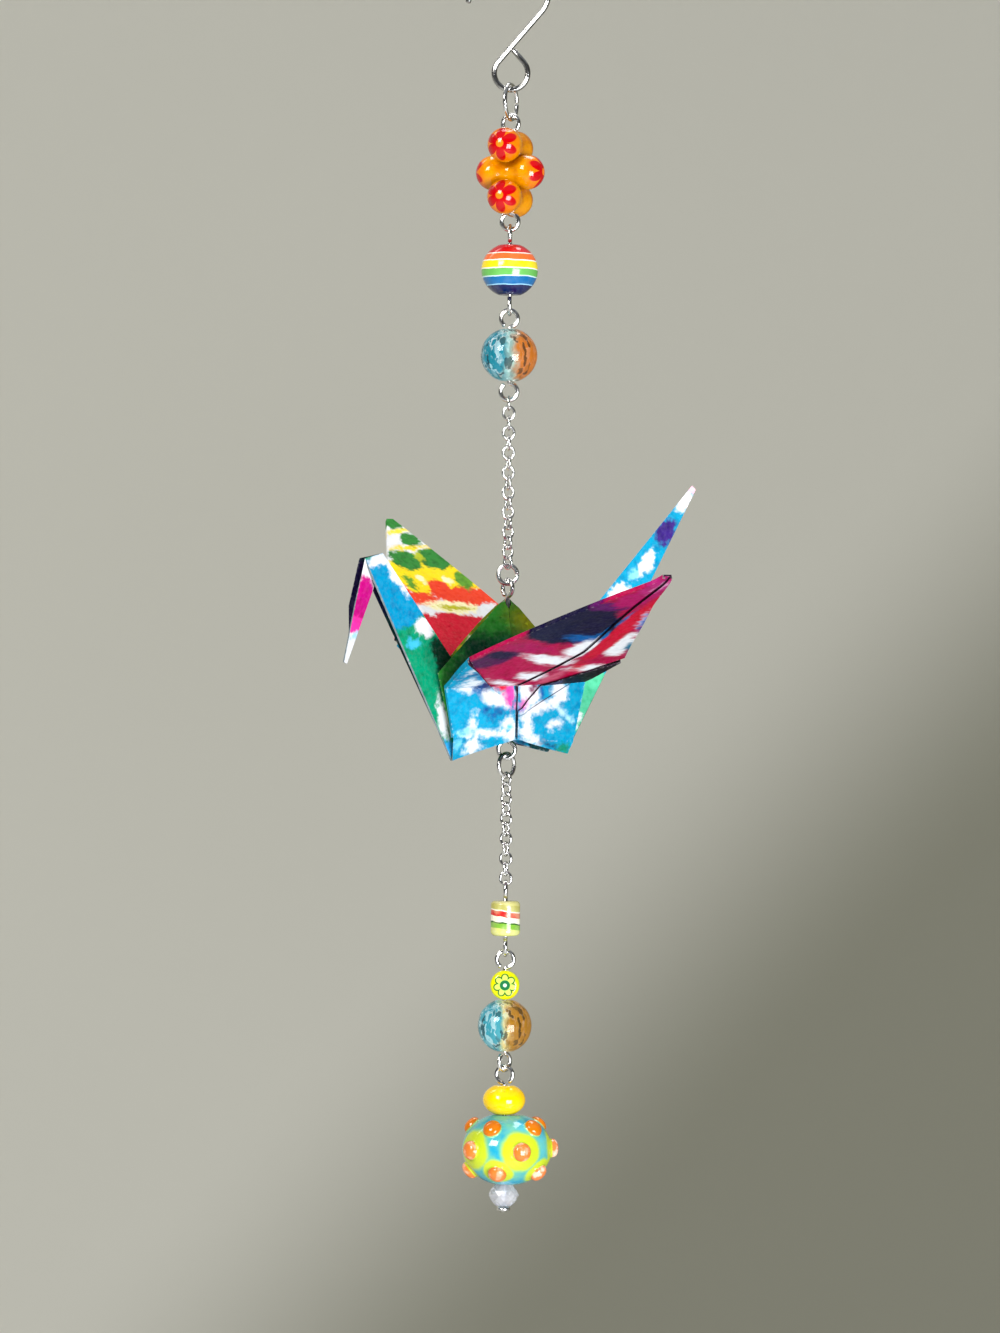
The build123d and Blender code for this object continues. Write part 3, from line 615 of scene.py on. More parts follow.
def bead_outline(width, height, end, steps=40):
    """(radius, height) points of an oval bead with a flat at each end, up its side and down its bore."""
    first = acos(end / width)
    rise = height / 2 / sin(first)
    angles = [-first + 2 * first * k / steps for k in range(steps + 1)]
    side = [(width / 2 * cos(a), rise * sin(a)) for a in angles]
    bore, top = BORE / 2, height / 2
    lip = [(bore + LIP, top), (bore + LIP * 0.3, top - LIP * 0.3), (bore, top - LIP)]
    down = [(bore, (top - LIP) * (1 - k / 3)) for k in range(1, 6)]
    return side + lip + down + [(radius, -up) for radius, up in reversed(lip)]


def lathe(outline, sides=BEAD_SIDES):
    """Points and faces of a closed outline that is spun about the vertical."""
    points = np.array([(r * cos(a), r * sin(a), up) for r, up in outline for a in angles_round(sides)])
    return points, ring_faces(len(outline), sides, closed=True)


def hang_turned(node, end, materials):
    """A turned bead in the place and size of its node."""
    middle, size = middle_and_size(node)
    points, faces = lathe(bead_outline(size[0], size[2], end))
    piece = hang(node + "_glass", points + middle, faces, node, materials, place=points)
    print(node, "size, mm:", [round(v, 2) for v in size])
    return piece


# %% [markdown]
# ## Glass body, a shared effect
# No glass bead is one even colour: it has clouds of paler and deeper glass, and tiny seeds of trapped air
# that roughen the gloss. Several beads use the effect, so it is a node group with named inputs, which gives
# a clouded colour, a height for the bump, and a roughness.

# %% Clouded glass group
clouded, given, result = new_group(
    "clouded glass",
    {"Place": "Vector", "Colour": "Color", "Cloud": "Color", "Size": "Float", "Share": "Float"},
    {"Colour": "Color", "Height": "Float", "Roughness": "Float"},
)
scaled = add(clouded, "ShaderNodeVectorMath", operation="SCALE")
feed(clouded, scaled.inputs[0], given["Place"])
feed(clouded, scaled.inputs["Scale"], given["Size"])
cloud = step(clouded, noise(clouded, scaled.outputs[0], 1.0, 3.0), 0.38, 0.72)
share = times(clouded, cloud, given["Share"])
feed(clouded, result["Colour"], mixed(clouded, share, given["Colour"], given["Cloud"]))
seeds = noise(clouded, scaled.outputs[0], 9.0, 1.0)
feed(clouded, result["Height"], seeds)
feed(clouded, result["Roughness"], between(clouded, seeds, 0.03, 0.14))


def clouded_finish(name, colour, cloud, size, share, **sockets):
    """A finish of clouded glass, with its tree, its shader, the bead's own place and the glass in it."""
    material, tree, shader = finish(name, **sockets)
    place = stored(tree, "place")
    glass = use(
        tree, clouded, Place=place, Colour=srgb(*colour), Cloud=srgb(*cloud), Size=size, Share=share
    )
    return material, tree, shader, place, glass


def glazed(tree, shader, glass, colour, seeds, bleed=None):
    """A bead's colour, with the clouded glass's gloss and its seeds' height in mm; bleed is light let in."""
    feed(tree, shader["Base Color"], colour)
    feed(tree, shader["Roughness"], glass["Roughness"])
    bumped(tree, shader, glass["Height"], seeds)
    if bleed:
        for socket, value in zip(("Weight", "Radius", "Scale"), bleed):
            shader["Subsurface " + socket].default_value = value


print("group:", clouded.name)

# %% [markdown]
# ## Flower group
# Two kinds of bead show a flower: the ends of the peanut beads, and the coin cut from patterned cane. A
# flower is a circle whose radius rises and falls with the angle, once for each petal. The group takes flat
# coordinates in millimetres and gives a petal mask, and the distance from the middle for discs and rings.

# %% Petal mask group
flower, given, result = new_group(
    "flower",
    {"Across": "Float", "Up": "Float", "Petals": "Float", "Reach": "Float", "Notch": "Float"},
    {"Petal": "Float", "Distance": "Float"},
)
squares = [times(flower, given[axis], given[axis]) for axis in ("Across", "Up")]
distance = maths(flower, "SQRT", plus(flower, *squares))
angle = maths(flower, "ARCTAN2", given["Across"], given["Up"])
half_turns = times(flower, angle, maths(flower, "DIVIDE", given["Petals"], 2.0))
wave = maths(flower, "POWER", maths(flower, "ABSOLUTE", maths(flower, "COSINE", half_turns)), 0.5)
notched = times(flower, less(flower, 1.0, wave), given["Notch"])
edge = times(flower, given["Reach"], less(flower, 1.0, notched))
over = less(flower, distance, edge)
feed(flower, result["Petal"], step(flower, over, 0.08, -0.08))
feed(flower, result["Distance"], distance)
print("group:", flower.name)

# %% [markdown]
# ## Peanut beads
# Three amber beads with a waist lie across each other on one pin. Each end shows the cut face of the
# cane it was made from: a red flower with an orange eye, under a thick gloss. The form is a lathe on its
# side, drilled across the waist with a Boolean, because the hole isn't on the lathe's axis.

# %% Amber glass with flowers
PEANUT_LENGTH = 10.1

amber, tree, shader, place, glass = clouded_finish(
    "amber flower glass", (218, 142, 0), (164, 80, 0), 0.45, 0.8,
    IOR=1.45, Coat_Weight=0.2, Coat_Roughness=0.03,
)
along, across, up = split(tree, place)
cap = step(tree, maths(tree, "ABSOLUTE", along), PEANUT_LENGTH / 2 - 2.2, PEANUT_LENGTH / 2 - 1.5)
petals = use(tree, flower, Across=across, Up=up, Petals=6.0, Reach=2.3, Notch=0.6)
rim = mixed(tree, times(tree, cap, 0.5), glass["Colour"], srgb(236, 104, 6))
red = mixed(tree, times(tree, petals["Petal"], cap), rim, srgb(186, 0, 10))
eye = times(tree, step(tree, petals["Distance"], 0.62, 0.48), cap)
colour = mixed(tree, eye, red, srgb(244, 128, 24))
glazed(tree, shader, glass, colour, 0.01, bleed=(0.12, (1.0, 0.5, 0.05), 1.2 * MM))
print("finish:", amber.name)

# %% [markdown]
# The outline follows two balls and a smooth waist between them. After the drill has cut through the waist,
# the points have changed, so each one's place on the bead is measured again for the flowers.

# %% Peanut forms
PEANUT_WAIST = 3.6
PEANUT_STEPS, PEANUT_SIDES = 56, 64
DRILL_SIDES, DRILL_REACH = 24, 8  # reach in mm above and below the bead's middle
SHARP = 40  # degrees; sharper edges are left hard


def peanut_outline(length, bulge):
    """(radius, along) points from end to end: two round bulges and a smooth waist."""
    points = []
    reach = bulge / 2
    for k in range(PEANUT_STEPS + 1):
        along = -length / 2 * cos(pi * k / PEANUT_STEPS)
        from_bulge = abs(abs(along) - (length / 2 - reach))
        if abs(along) > length / 2 - reach:
            radius = np.sqrt(max(reach**2 - from_bulge**2, 0.0004))
        else:
            share = from_bulge / (length / 2 - reach)
            radius = reach - (reach - PEANUT_WAIST / 2) * (1 - cos(pi * share)) / 2
        points.append((float(radius), along))
    return points


def drilled(piece, middle, swing):
    """Cuts a bead's upright bore with a Boolean, and measures each point's place again."""
    spin = angles_round(DRILL_SIDES)
    ring = np.array([(BORE / 2 * cos(a), BORE / 2 * sin(a), middle[2]) for a in spin])
    reach = (0, 0, DRILL_REACH)
    cutter_mesh = bpy.data.meshes.new("bore_cutter")
    ends = np.concatenate([ring - reach, ring + reach]) * MM
    cutter_mesh.from_pydata(ends.tolist(), [], capped(2, DRILL_SIDES))
    cutter = placed("bore_cutter", cutter_mesh)
    bore = piece.modifiers.new("bore", "BOOLEAN")
    bore.object, bore.operation, bore.solver = cutter, "DIFFERENCE", "EXACT"
    bpy.context.view_layer.update()
    cut = bpy.data.meshes.new_from_object(piece.evaluated_get(bpy.context.evaluated_depsgraph_get()))
    piece.modifiers.clear()
    piece.data = cut
    bpy.data.objects.remove(cutter)
    shade(cut)
    cut.set_sharp_from_angle(angle=radians(SHARP))
    store(cut, "place", (np.array([corner.co for corner in cut.vertices]) / MM - middle) @ swing)


for node in ("peanut_bead_top", "peanut_bead_middle", "peanut_bead_bottom"):
    middle, size = middle_and_size(node)
    outline = peanut_outline(PEANUT_LENGTH, size[2])
    spin = angles_round(PEANUT_SIDES)
    own = np.array([(along, -r * cos(a), r * sin(a)) for r, along in outline for a in spin])
    turn = turn_of(corners_of(node))
    swing = np.array([[cos(turn), -sin(turn), 0], [sin(turn), cos(turn), 0], [0, 0, 1]])
    faces = capped(len(outline), PEANUT_SIDES)
    piece = hang(node + "_glass", own @ swing.T + middle, faces, node, [amber])
    drilled(piece, middle, swing)
    print(node, "faces:", len(piece.data.polygons))

# %% [markdown]
# ## Rainbow bead
# Striped resin is cast in layers and turned down to a ball, so every stripe is a level slice. A colour ramp
# on the height paints it, with hard steps and thin pale layers between. A slow wave in the height keeps the
# layers from looking ruled.

# %% Rainbow resin
STRIPES = (  # lower edge as a share of the bead's height, colour from there up
    (0.0, srgb(0, 16, 78)),
    (0.17, srgb(150, 204, 234)),
    (0.19, srgb(0, 104, 166)),
    (0.335, srgb(206, 238, 234)),
    (0.358, srgb(102, 182, 84)),
    (0.495, srgb(252, 252, 240)),
    (0.518, srgb(252, 222, 20)),
    (0.66, srgb(255, 250, 240)),
    (0.682, srgb(244, 108, 40)),
    (0.805, srgb(255, 240, 230)),
    (0.828, srgb(206, 8, 24)),
)
RAINBOW_END = 3.2  # width of the flat at each end


def layered(tree, level, height, layers):
    """The colour at a level from the middle of a bead that was built up in layers."""
    node = add(tree, "ShaderNodeValToRGB")
    node.color_ramp.interpolation = "CONSTANT"
    elements = node.color_ramp.elements
    while len(elements) < len(layers):
        elements.new(0.5)
    for element, (share, colour) in zip(elements, layers):
        element.position, element.color = share, colour
    feed(tree, node.inputs[0], plus(tree, maths(tree, "DIVIDE", level, height), 0.5))
    return node.outputs[0]


resin, tree, shader = finish(
    "rainbow resin", IOR=1.5, Roughness=0.15, Coat_Weight=0.2, Coat_Roughness=0.04
)
place = stored(tree, "place")
level = plus(tree, split(tree, place)[2], wobble(tree, place, 0.35, 2.0, 0.35))
stripes = layered(tree, level, middle_and_size("rainbow_bead")[1][2], STRIPES)
glass = use(tree, clouded, Place=place, Colour=stripes, Cloud=srgb(255, 255, 255), Size=0.8, Share=0.03)
feed(tree, shader["Base Color"], glass["Colour"])
bumped(tree, shader, glass["Height"], 0.006)
hang_turned("rainbow_bead", RAINBOW_END, [resin])

# %% [markdown]
# ## Crackle beads
# Crackle glass is shocked in cold water until fine cracks run through it, and these two are dyed teal on
# one side and amber on the other. The outside is clear, lightly tinted glass. The cracks are a second skin
# just inside it, so that they sit at a depth and bend with the glass: tinted cells, some darkened as painted
# shade and some paled as painted highlights, with white lines between them. The skin glows with its own
# colour, painted light for the lamp light that the round glass gathers on the cracks.

# %% Crackle glass and its veil
CRACKLE_END = 2.4  # width of the flat at each end
VEIL_SHARE = 0.86  # size of the inner skin over the bead's
VEIL_STEPS, VEIL_SIDES = 30, 64
GLOW = 0.36  # stands for the lamp light that the round glass gathers on the cracks


def sideways(tree, place, left, middle, right, spread):
    """A tint that goes from one side to the other, with a frayed border."""
    across = plus(tree, split(tree, place)[0], wobble(tree, place, 0.6, 3.0, 3.0))
    tint = mixed(tree, step(tree, across, -spread, spread * 0.1), left, middle)
    return mixed(tree, step(tree, across, spread * 0.1, spread), tint, right)


def crackle_glass(name, *tints):
    """Clear glass with a light tint of the dye."""
    material, tree, shader = finish(name + " glass", IOR=1.45, Transmission_Weight=1.0, Roughness=0.02)
    place = stored(tree, "place")
    dye = sideways(tree, place, *tints)
    feed(tree, shader["Base Color"], mixed(tree, 0.5, dye, srgb(255, 255, 255)))
    bumped(tree, shader, noise(tree, place, 1.2, 2.0), 0.02)
    return material


def crackle_veil(name, *tints):
    """The cracks: tinted cells, some in painted shade and some paled as painted highlights, white lines, a painted
    glow.
    """
    material, tree, shader = finish(name + " veil", Roughness=0.2, Specular_IOR_Level=0.25)
    place = stored(tree, "place")
    squeezed = vectors(tree, "MULTIPLY", place, (1.5, 1.5, 0.32))
    frayed = vectors(tree, "MULTIPLY", noise(tree, place, 1.1, 3.0, "Color"), (1.3, 1.3, 1.3))
    bent = vectors(tree, "ADD", squeezed, frayed)
    cells = add(tree, "ShaderNodeTexVoronoi")
    edges = add(tree, "ShaderNodeTexVoronoi", feature="DISTANCE_TO_EDGE")
    for texture in (cells, edges):
        feed(tree, texture.inputs["Vector"], bent)
        texture.inputs["Scale"].default_value = 1.1
    own = split(tree, cells.outputs["Color"])[0]
    tint = sideways(tree, place, *tints)
    # painted shade: the darker cells are the tint at 0.22 of its value
    shade = vectors(tree, "MULTIPLY", tint, (0.22, 0.22, 0.22))
    deep = mixed(tree, step(tree, own, 0.4, 0.0), tint, shade)
    cool = maths(tree, "MAXIMUM", step(tree, split(tree, place)[0], 1.2, -0.8), 0.15)
    # painted highlights: the palest cells, mostly on the left side
    bright = times(tree, step(tree, own, 0.8, 1.0), cool)
    pale = mixed(tree, bright, deep, srgb(214, 240, 242))
    line = times(tree, step(tree, edges.outputs["Distance"], 0.12, 0.0), cool)
    white = times(tree, line, step(tree, noise(tree, place, 0.7, 2.0), 0.46, 0.62))
    colour = mixed(tree, white, pale, srgb(252, 254, 252))
    feed(tree, shader["Base Color"], colour)
    # painted light: the skin glows with its own colour
    feed(tree, shader["Emission Color"], colour)
    shader["Emission Strength"].default_value = GLOW
    feed(tree, shader["Alpha"], maths(tree, "MAXIMUM", white, 0.9))
    bumped(tree, shader, edges.outputs["Distance"], 0.4)
    return material


CRACKLE = {  # left, middle and right tint, and half of the border's width
    "upper_crackle": (srgb(0, 160, 182), srgb(190, 226, 222), srgb(222, 140, 30), 1.5),
    "lower_crackle": (srgb(76, 186, 204), srgb(240, 228, 170), srgb(198, 146, 36), 1.0),
}
for name, tints in CRACKLE.items():
    node = name + "_bead"
    hang_turned(node, CRACKLE_END, [crackle_glass(name, *tints)])
    middle, size = middle_and_size(node)
    shrunk = [full * VEIL_SHARE for full in (size[0], size[2], CRACKLE_END)]
    points, faces = lathe(bead_outline(*shrunk, VEIL_STEPS), VEIL_SIDES)
    veil = crackle_veil(name, *tints)
    inner = hang(node + "_veil", points + middle, faces, node, [veil], place=points)
    print(inner.name, "faces:", len(inner.data.polygons))

# %% [markdown]
# ## Cane bead
# A short slice of striped cane, drilled along its length. The layers lie level with a little slant:
# olive, a red band edged in white, white, a dark-green line, light green. The ends are rounded in the
# flame, which the outline follows with a quarter circle at each end.

# %% Cane glass
CANE_EDGE = 0.6
CANE_SHARP = 50  # degrees
ROD_SIDES = 64
CANE_LAYERS = (  # lower edge, as a share of the height, and colour
    (0.0, srgb(206, 208, 120)),
    (0.2, srgb(126, 178, 60)),
    (0.34, srgb(40, 92, 34)),
    (0.385, srgb(238, 236, 214)),
    (0.54, srgb(204, 40, 40)),
    (0.7, srgb(240, 236, 220)),
    (0.735, srgb(178, 172, 92)),
    (0.9, srgb(196, 190, 120)),
)
cane, tree, shader = finish("cane glass", IOR=1.45, Coat_Weight=0.2, Coat_Roughness=0.05)
place = stored(tree, "place")
across, deep, up = split(tree, place)
slanted = plus(tree, up, times(tree, across, 0.12))
level = plus(tree, slanted, wobble(tree, place, 0.5, 2.0, 0.5))
bands = layered(tree, level, middle_and_size("cane_bead")[1][2], CANE_LAYERS)
glass = use(tree, clouded, Place=place, Colour=bands, Cloud=srgb(226, 224, 178), Size=0.7, Share=0.35)
glazed(tree, shader, glass, glass["Colour"], 0.012, bleed=(0.3, (1.0, 0.9, 0.4), 0.8 * MM))


def barrel_outline(width, height, edge, inner):
    """A rod with rounded ends, up its side and down its bore (inner is the bore's radius)."""
    lower = arc((width / 2 - edge, -height / 2 + edge), edge, -90, 90, 8)
    upper = arc((width / 2 - edge, height / 2 - edge), edge, 0, 90, 8)
    return lower + upper + [(inner, height / 2), (inner, 0), (inner, -height / 2)]


middle, size = middle_and_size("cane_bead")
points, faces = lathe(barrel_outline(size[0], size[2], CANE_EDGE, BORE / 2), ROD_SIDES)
piece = hang("cane_bead_glass", points + middle, faces, "cane_bead", [cane], place=points)
piece.data.set_sharp_from_angle(angle=radians(CANE_SHARP))
print("cane bead faces:", len(faces))

# %% [markdown]
# ## Flower coin
# A coin sawn from a patterned cane: lime glass, a ring of pale petals drawn in dark green, and a dark
# centre with a white dot. It uses the same flower group, once for the petals' outline and once for
# their pale inside. The rods run through the slice, so both faces show it.

# %% Flower coin
COIN_EDGE = 0.7
COIN_CORE = 0.02  # mm, radius of the middle line that the coin is spun about
PETALS = 7.0

coin, tree, shader, place, glass = clouded_finish(
    "flower cane glass", (222, 220, 0), (176, 206, 20), 0.6, 0.7,
    IOR=1.45, Coat_Weight=0.2, Coat_Roughness=0.04,
)
across, deep, up = split(tree, place)
outline_petals = use(tree, flower, Across=across, Up=up, Petals=PETALS, Reach=1.68, Notch=0.3)
pale_petals = use(tree, flower, Across=across, Up=up, Petals=PETALS, Reach=1.52, Notch=0.62)
face_side = step(tree, maths(tree, "ABSOLUTE", deep), 0.9, 1.2)
rods = (
    (outline_petals["Petal"], srgb(28, 92, 40)),
    (pale_petals["Petal"], srgb(196, 226, 96)),
    (step(tree, pale_petals["Distance"], 0.78, 0.7), srgb(30, 110, 62)),
    (step(tree, pale_petals["Distance"], 0.3, 0.22), srgb(226, 240, 214)),
)
colour = glass["Colour"]
for mask, paint in rods:
    colour = mixed(tree, times(tree, mask, face_side), colour, paint)
glazed(tree, shader, glass, colour, 0.012)

middle, size = middle_and_size("flower_bead")
core_ends = [(COIN_CORE, size[1] / 2), (COIN_CORE, -size[1] / 2)]
spun, faces = lathe(barrel_outline(size[0], size[1], COIN_EDGE, COIN_CORE)[:-3] + core_ends, ROD_SIDES)
own = spun[:, [0, 2, 1]] * np.array([1, -1, 1])
piece = hang("flower_bead_glass", own + middle, faces, "flower_bead", [coin])
drilled(piece, middle, np.eye(3))
print("coin faces:", len(piece.data.polygons))

# %% [markdown]
# ## Spacer
# A plain rondelle of yellow glass, deeper orange where it is thick. It needs only the clouded glass and
# a gloss.

# %% Yellow spacer
SPACER_END = 2.8  # width of the flat at each end

yellow, tree, shader, place, glass = clouded_finish(
    "yellow glass", (255, 212, 0), (255, 194, 0), 0.4, 0.8, IOR=1.45, Coat_Weight=0.3, Coat_Roughness=0.03
)
glazed(tree, shader, glass, glass["Colour"], 0.01, bleed=(0.15, (1.0, 0.75, 0.05), 1.0 * MM))
hang_turned("spacer_bead", SPACER_END, [yellow])

# %% [markdown]
# ## Lampwork bead
# The large bead is wound in a flame from sky-blue glass. Discs of lime glass are melted flat into it, and
# dots of orange glass are left standing on top. The dots are real bumps: each point of a fine lathe is pushed
# out by how near it lies to a dot. Masks for dots and discs are stored on the points for the finish to use.

# %% Lampwork form
DOT_ROWS = ((40, 5, -115), (2, 5, -71), (-36, 5, -105))  # latitude, number, first longitude; degrees
DOT_RADIUS = 1.32
DOT_HEIGHT = 0.95
DOT_ROUND = 2.6  # power that rounds a dot's shoulder
DISC_RADII = (1.5, 3.4, 2.5)  # one for each row
LAMPWORK_WIDTH = 12.8
LAMPWORK_END = 4.4
LAMPWORK_STEPS, LAMPWORK_SIDES = 130, 260

middle, size = middle_and_size("lampwork_bead")
outline = bead_outline(LAMPWORK_WIDTH, size[2], LAMPWORK_END, LAMPWORK_STEPS)
points, faces = lathe(outline, LAMPWORK_SIDES)
sunk = np.linalg.norm(points[:, :2], axis=1) < LAMPWORK_END / 2 - 0.01
half_wide, half_high = LAMPWORK_WIDTH / 2, size[2] / 2
outward = points / np.array([half_wide**2, half_wide**2, half_high**2])
outward /= np.linalg.norm(outward, axis=1)[:, None]
dot, disc, hue = np.zeros((3, len(points)))
for (latitude, number, first), disc_radius in zip(DOT_ROWS, DISC_RADII):
    for k in range(number):
        lat, lon = radians(latitude), radians(first + 360 * k / number)
        foot = np.array(
            [half_wide * cos(lat) * cos(lon), half_wide * cos(lat) * sin(lon), half_high * sin(lat)]
        )
        away = np.linalg.norm(points - foot, axis=1)
        near = np.clip((DOT_RADIUS - away) / DOT_RADIUS, 0, 1)
        dot = np.maximum(dot, np.where(away < DOT_RADIUS, np.sqrt(1 - (1 - near) ** DOT_ROUND), 0))
        hue = np.where(away < DOT_RADIUS * 1.1, 0.0 if latitude > 10 else 0.5 + 0.5 * (k % 2), hue)
        disc = np.maximum(disc, 1 - away / disc_radius)
dot[sunk] = 0
points = points + outward * (dot * DOT_HEIGHT)[:, None]
print("dots:", sum(number for latitude, number, first in DOT_ROWS), "points:", len(points))

# %% [markdown]
# The finish reads those masks. A little noise makes the discs' borders wander, and a green rim shows where
# lime glass has bled into the blue. The upper row's dots are amber. The others are more orange, every second
# one more so, with paler patches.

# %% Lampwork finish
lampwork, tree, shader, place, glass = clouded_finish(
    "lampwork glass", (26, 158, 192), (96, 196, 212), 0.25, 0.8,
    IOR=1.45, Coat_Weight=0.3, Coat_Roughness=0.03,
)
spot = plus(tree, stored(tree, "disc", "Fac"), wobble(tree, place, 0.45, 2.0, 0.3))
colour = mixed(tree, step(tree, spot, -0.06, 0.1), glass["Colour"], srgb(112, 190, 150))
colour = mixed(tree, step(tree, spot, 0.06, 0.24), colour, srgb(194, 212, 40))
raised = stored(tree, "dot", "Fac")
warm = mixed(tree, stored(tree, "hue", "Fac"), srgb(210, 112, 6), srgb(238, 130, 66))
glow = step(tree, noise(tree, place, 0.9, 2.0), 0.46, 0.66)
pale = mixed(tree, times(tree, glow, stored(tree, "hue", "Fac")), warm, srgb(248, 206, 180))
glazed(tree, shader, glass, mixed(tree, step(tree, raised, 0.12, 0.3), colour, pale), 0.012)

piece = hang(
    "lampwork_bead_glass", points + middle, faces, "lampwork_bead", [lampwork], place=points
)
for name, values in (("dot", dot), ("disc", disc), ("hue", hue)):
    store(piece.data, name, values)
print("lampwork faces:", len(faces))

# %% [markdown]
# ## Cut crystal
# The last bead is clear glass ground into flat facets. Two rings of points that are turned half a step apart
# give triangles between them, as a cutter's wheel does. Flat shading keeps each facet a mirror.

# %% Crystal
CRYSTAL_SIDES = 10
CRYSTAL_RINGS = (  # height over half of the bead's, radius in mm, turn in steps
    (-1.0, 1.2, 0.0),
    (-0.42, 1.95, 0.5),
    (0.0, 2.15, 0.0),
    (0.42, 1.95, 0.5),
    (1.0, 1.2, 0.0),
)
BORE_SINK = 0.1  # mm that the bore's ends lie within the bead's

crystal, tree, shader, place, glass = clouded_finish(
    "clear crystal", (246, 247, 252), (222, 224, 238), 1.0, 0.6, IOR=1.5, Transmission_Weight=0.72
)
feed(tree, shader["Base Color"], glass["Colour"])
feed(tree, shader["Roughness"], times(tree, glass["Roughness"], 0.15))

middle, size = middle_and_size("crystal_bead")
half = size[2] / 2
rings = [(share * half, radius, shift) for share, radius, shift in CRYSTAL_RINGS]
rings += [(half - BORE_SINK, BORE / 2, 0.0), (-half + BORE_SINK, BORE / 2, 0.0)]
turned = [
    (up, radius, 2 * pi * (k + shift) / CRYSTAL_SIDES)
    for up, radius, shift in rings
    for k in range(CRYSTAL_SIDES)
]
points = np.array([(radius * cos(a), radius * sin(a), up) for up, radius, a in turned])
faces = []
for ring, (up, radius, shift) in enumerate(rings):
    here, there = ring * CRYSTAL_SIDES, (ring + 1) % len(rings) * CRYSTAL_SIDES
    next_shift = rings[(ring + 1) % len(rings)][2]
    for k in range(CRYSTAL_SIDES):
        after = (k + 1) % CRYSTAL_SIDES
        a, b, c, d = here + k, here + after, there + after, there + k
        if next_shift > shift:
            faces += [(a, b, d), (b, c, d)]
        elif next_shift < shift:
            faces += [(a, c, d), (a, b, c)]
        else:
            faces.append((a, b, c, d))
piece = hang(
    "crystal_bead_glass", points + middle, faces, "crystal_bead", [crystal], place=points
)
shade(piece.data, smooth=False)
print("crystal facets:", len(faces))

# %% [markdown]
# ## The crane's own coordinates
# The paper turns and leans on the string, but dye is easiest to place on the bird itself. So each point
# keeps its place in the crane's own frame, in millimetres: `along` runs from neck to tail, `away` from the
# front wing to the back wing, and `up` from the fold line under the body. The spin joint marks the peak of
# the hump, and the turn and lean are those that the crane was hung with.

# %% Crane frame
CRANE_TURN = 29.9  # degrees about the string
CRANE_LEAN = 2.3  # degrees to the tail side
HUMP_HEIGHT = 20.3

peak = next(np.array(j["pos_m"]) / MM for j in frame["joints"] if j["child"] == "crane")
hung = Matrix.Rotation(radians(CRANE_LEAN), 3, "Y") @ Matrix.Rotation(radians(CRANE_TURN), 3, "Z")
to_crane = np.array(hung.inverted())


def in_crane(points):
    return (np.asarray(points) - peak) @ to_crane.T + np.array([0, 0, HUMP_HEIGHT])


print("hump's peak, mm:", peak.round(2))

# %% [markdown]
# ## Finding the folded fields
# The square is dyed all over, and folding brings different parts of it side by side, so colours jump at the
# folds. Each field gets its own dye. The frame's facets are still whole here, so a few corners tell which
# field one belongs to: a facet that reaches a wing tip is wing, one that reaches the crown is neck, and so
# on. Facets about as wide as the sheet is thick are its cut edges. Those under the front wing on the tail
# side are the pleat that lies in its shade.

# %% Fields of the folded sheet
FIELDS = ("front wing", "back wing", "body", "neck", "head", "tail")
FIELDS += ("hump", "gusset", "inside", "cut edge", "pleat")
CUT_EDGE_WIDTH = 0.26
HEAD_ALONG, NECK_ALONG, TAIL_ALONG = -24.6, -19, 20  # mm; facets that reach beyond belong there
WING_AWAY, PLEAT_AWAY = 12.7, -6


def field_of(corners, normal):
    """The name of the field that a facet lies in, from its corners and normal in the crane's frame."""
    along, away, up = corners.T
    sides = np.linalg.norm(corners - np.roll(corners, 1, 0), axis=1)
    area = np.linalg.norm(np.cross(corners[1] - corners[0], corners[2] - corners[0]))
    if area / sides.max() < CUT_EDGE_WIDTH:
        return "cut edge"
    spine = (abs(away) < 0.45) & (up < 8) & (abs(along) > 3)
    faces_in = normal[1] * away.mean() < 0
    if (along < HEAD_ALONG).any():
        return "inside" if faces_in else "head"
    if (along < NECK_ALONG).any() or (spine & (along < 0)).any():
        return "inside" if faces_in else "neck"
    if (along > TAIL_ALONG).any() or (spine & (along > 0)).any():
        return "inside" if faces_in else "tail"
    if (abs(away) > WING_AWAY).any():
        return "front wing" if away.mean() < 0 else "back wing"
    if (away < PLEAT_AWAY).any() and along.mean() > 4:
        return "pleat"
    if ((up > 14) & (abs(along) < 1.2) & (abs(away) < 4)).any():
        gusset = ((abs(away) < 0.4) & (up < 13.5) & (up > 11)).any()
        return "gusset" if gusset else "hump"
    return "body"


# %% [markdown]
# ## Folding the visible sheet
# The frame's crane has the true folds, with flat fields. Real paper bows a little between its folds, so a
# fine copy of the mesh is made first, by halving long edges until all are short.

# %% Fine copy of the folded sheet
LONGEST_EDGE = 0.8  # mm
FOLD_ANGLE = 22  # degrees; sharper edges are folds

sheet = bmesh.new()
sheet.from_mesh(frame["nodes"]["crane"].data)
bmesh.ops.remove_doubles(sheet, verts=sheet.verts, dist=1e-6)
bmesh.ops.triangulate(sheet, faces=sheet.faces)
sheet.normal_update()
field = sheet.faces.layers.int.new("field")
for facet in sheet.faces:
    corners = in_crane([corner.co / MM for corner in facet.verts])
    facet[field] = FIELDS.index(field_of(corners, to_crane @ np.array(facet.normal)))
for edge in sheet.edges:
    edge.smooth = not (len(edge.link_faces) == 2 and edge.calc_face_angle(0) > radians(FOLD_ANGLE))
for halving in range(9):
    long_edges = [edge for edge in sheet.edges if edge.calc_length() > LONGEST_EDGE * MM]
    if not long_edges:
        break
    bmesh.ops.subdivide_edges(sheet, edges=long_edges, cuts=1)
    bmesh.ops.triangulate(sheet, faces=sheet.faces)
sheet.normal_update()
print("sheet after", halving, "halvings, faces:", len(sheet.faces))

# %% [markdown]
# Then every point is lifted by a soft wave of its place on the bird, the same for both faces of the sheet, so
# that no layer passes through another. The front wing's slit bows further than in the frame and opens a
# little. The far side of the neck and body is tucked in toward the tail, so that it stays hidden from the
# front. Creases, places and fields are kept on the mesh for the dye.

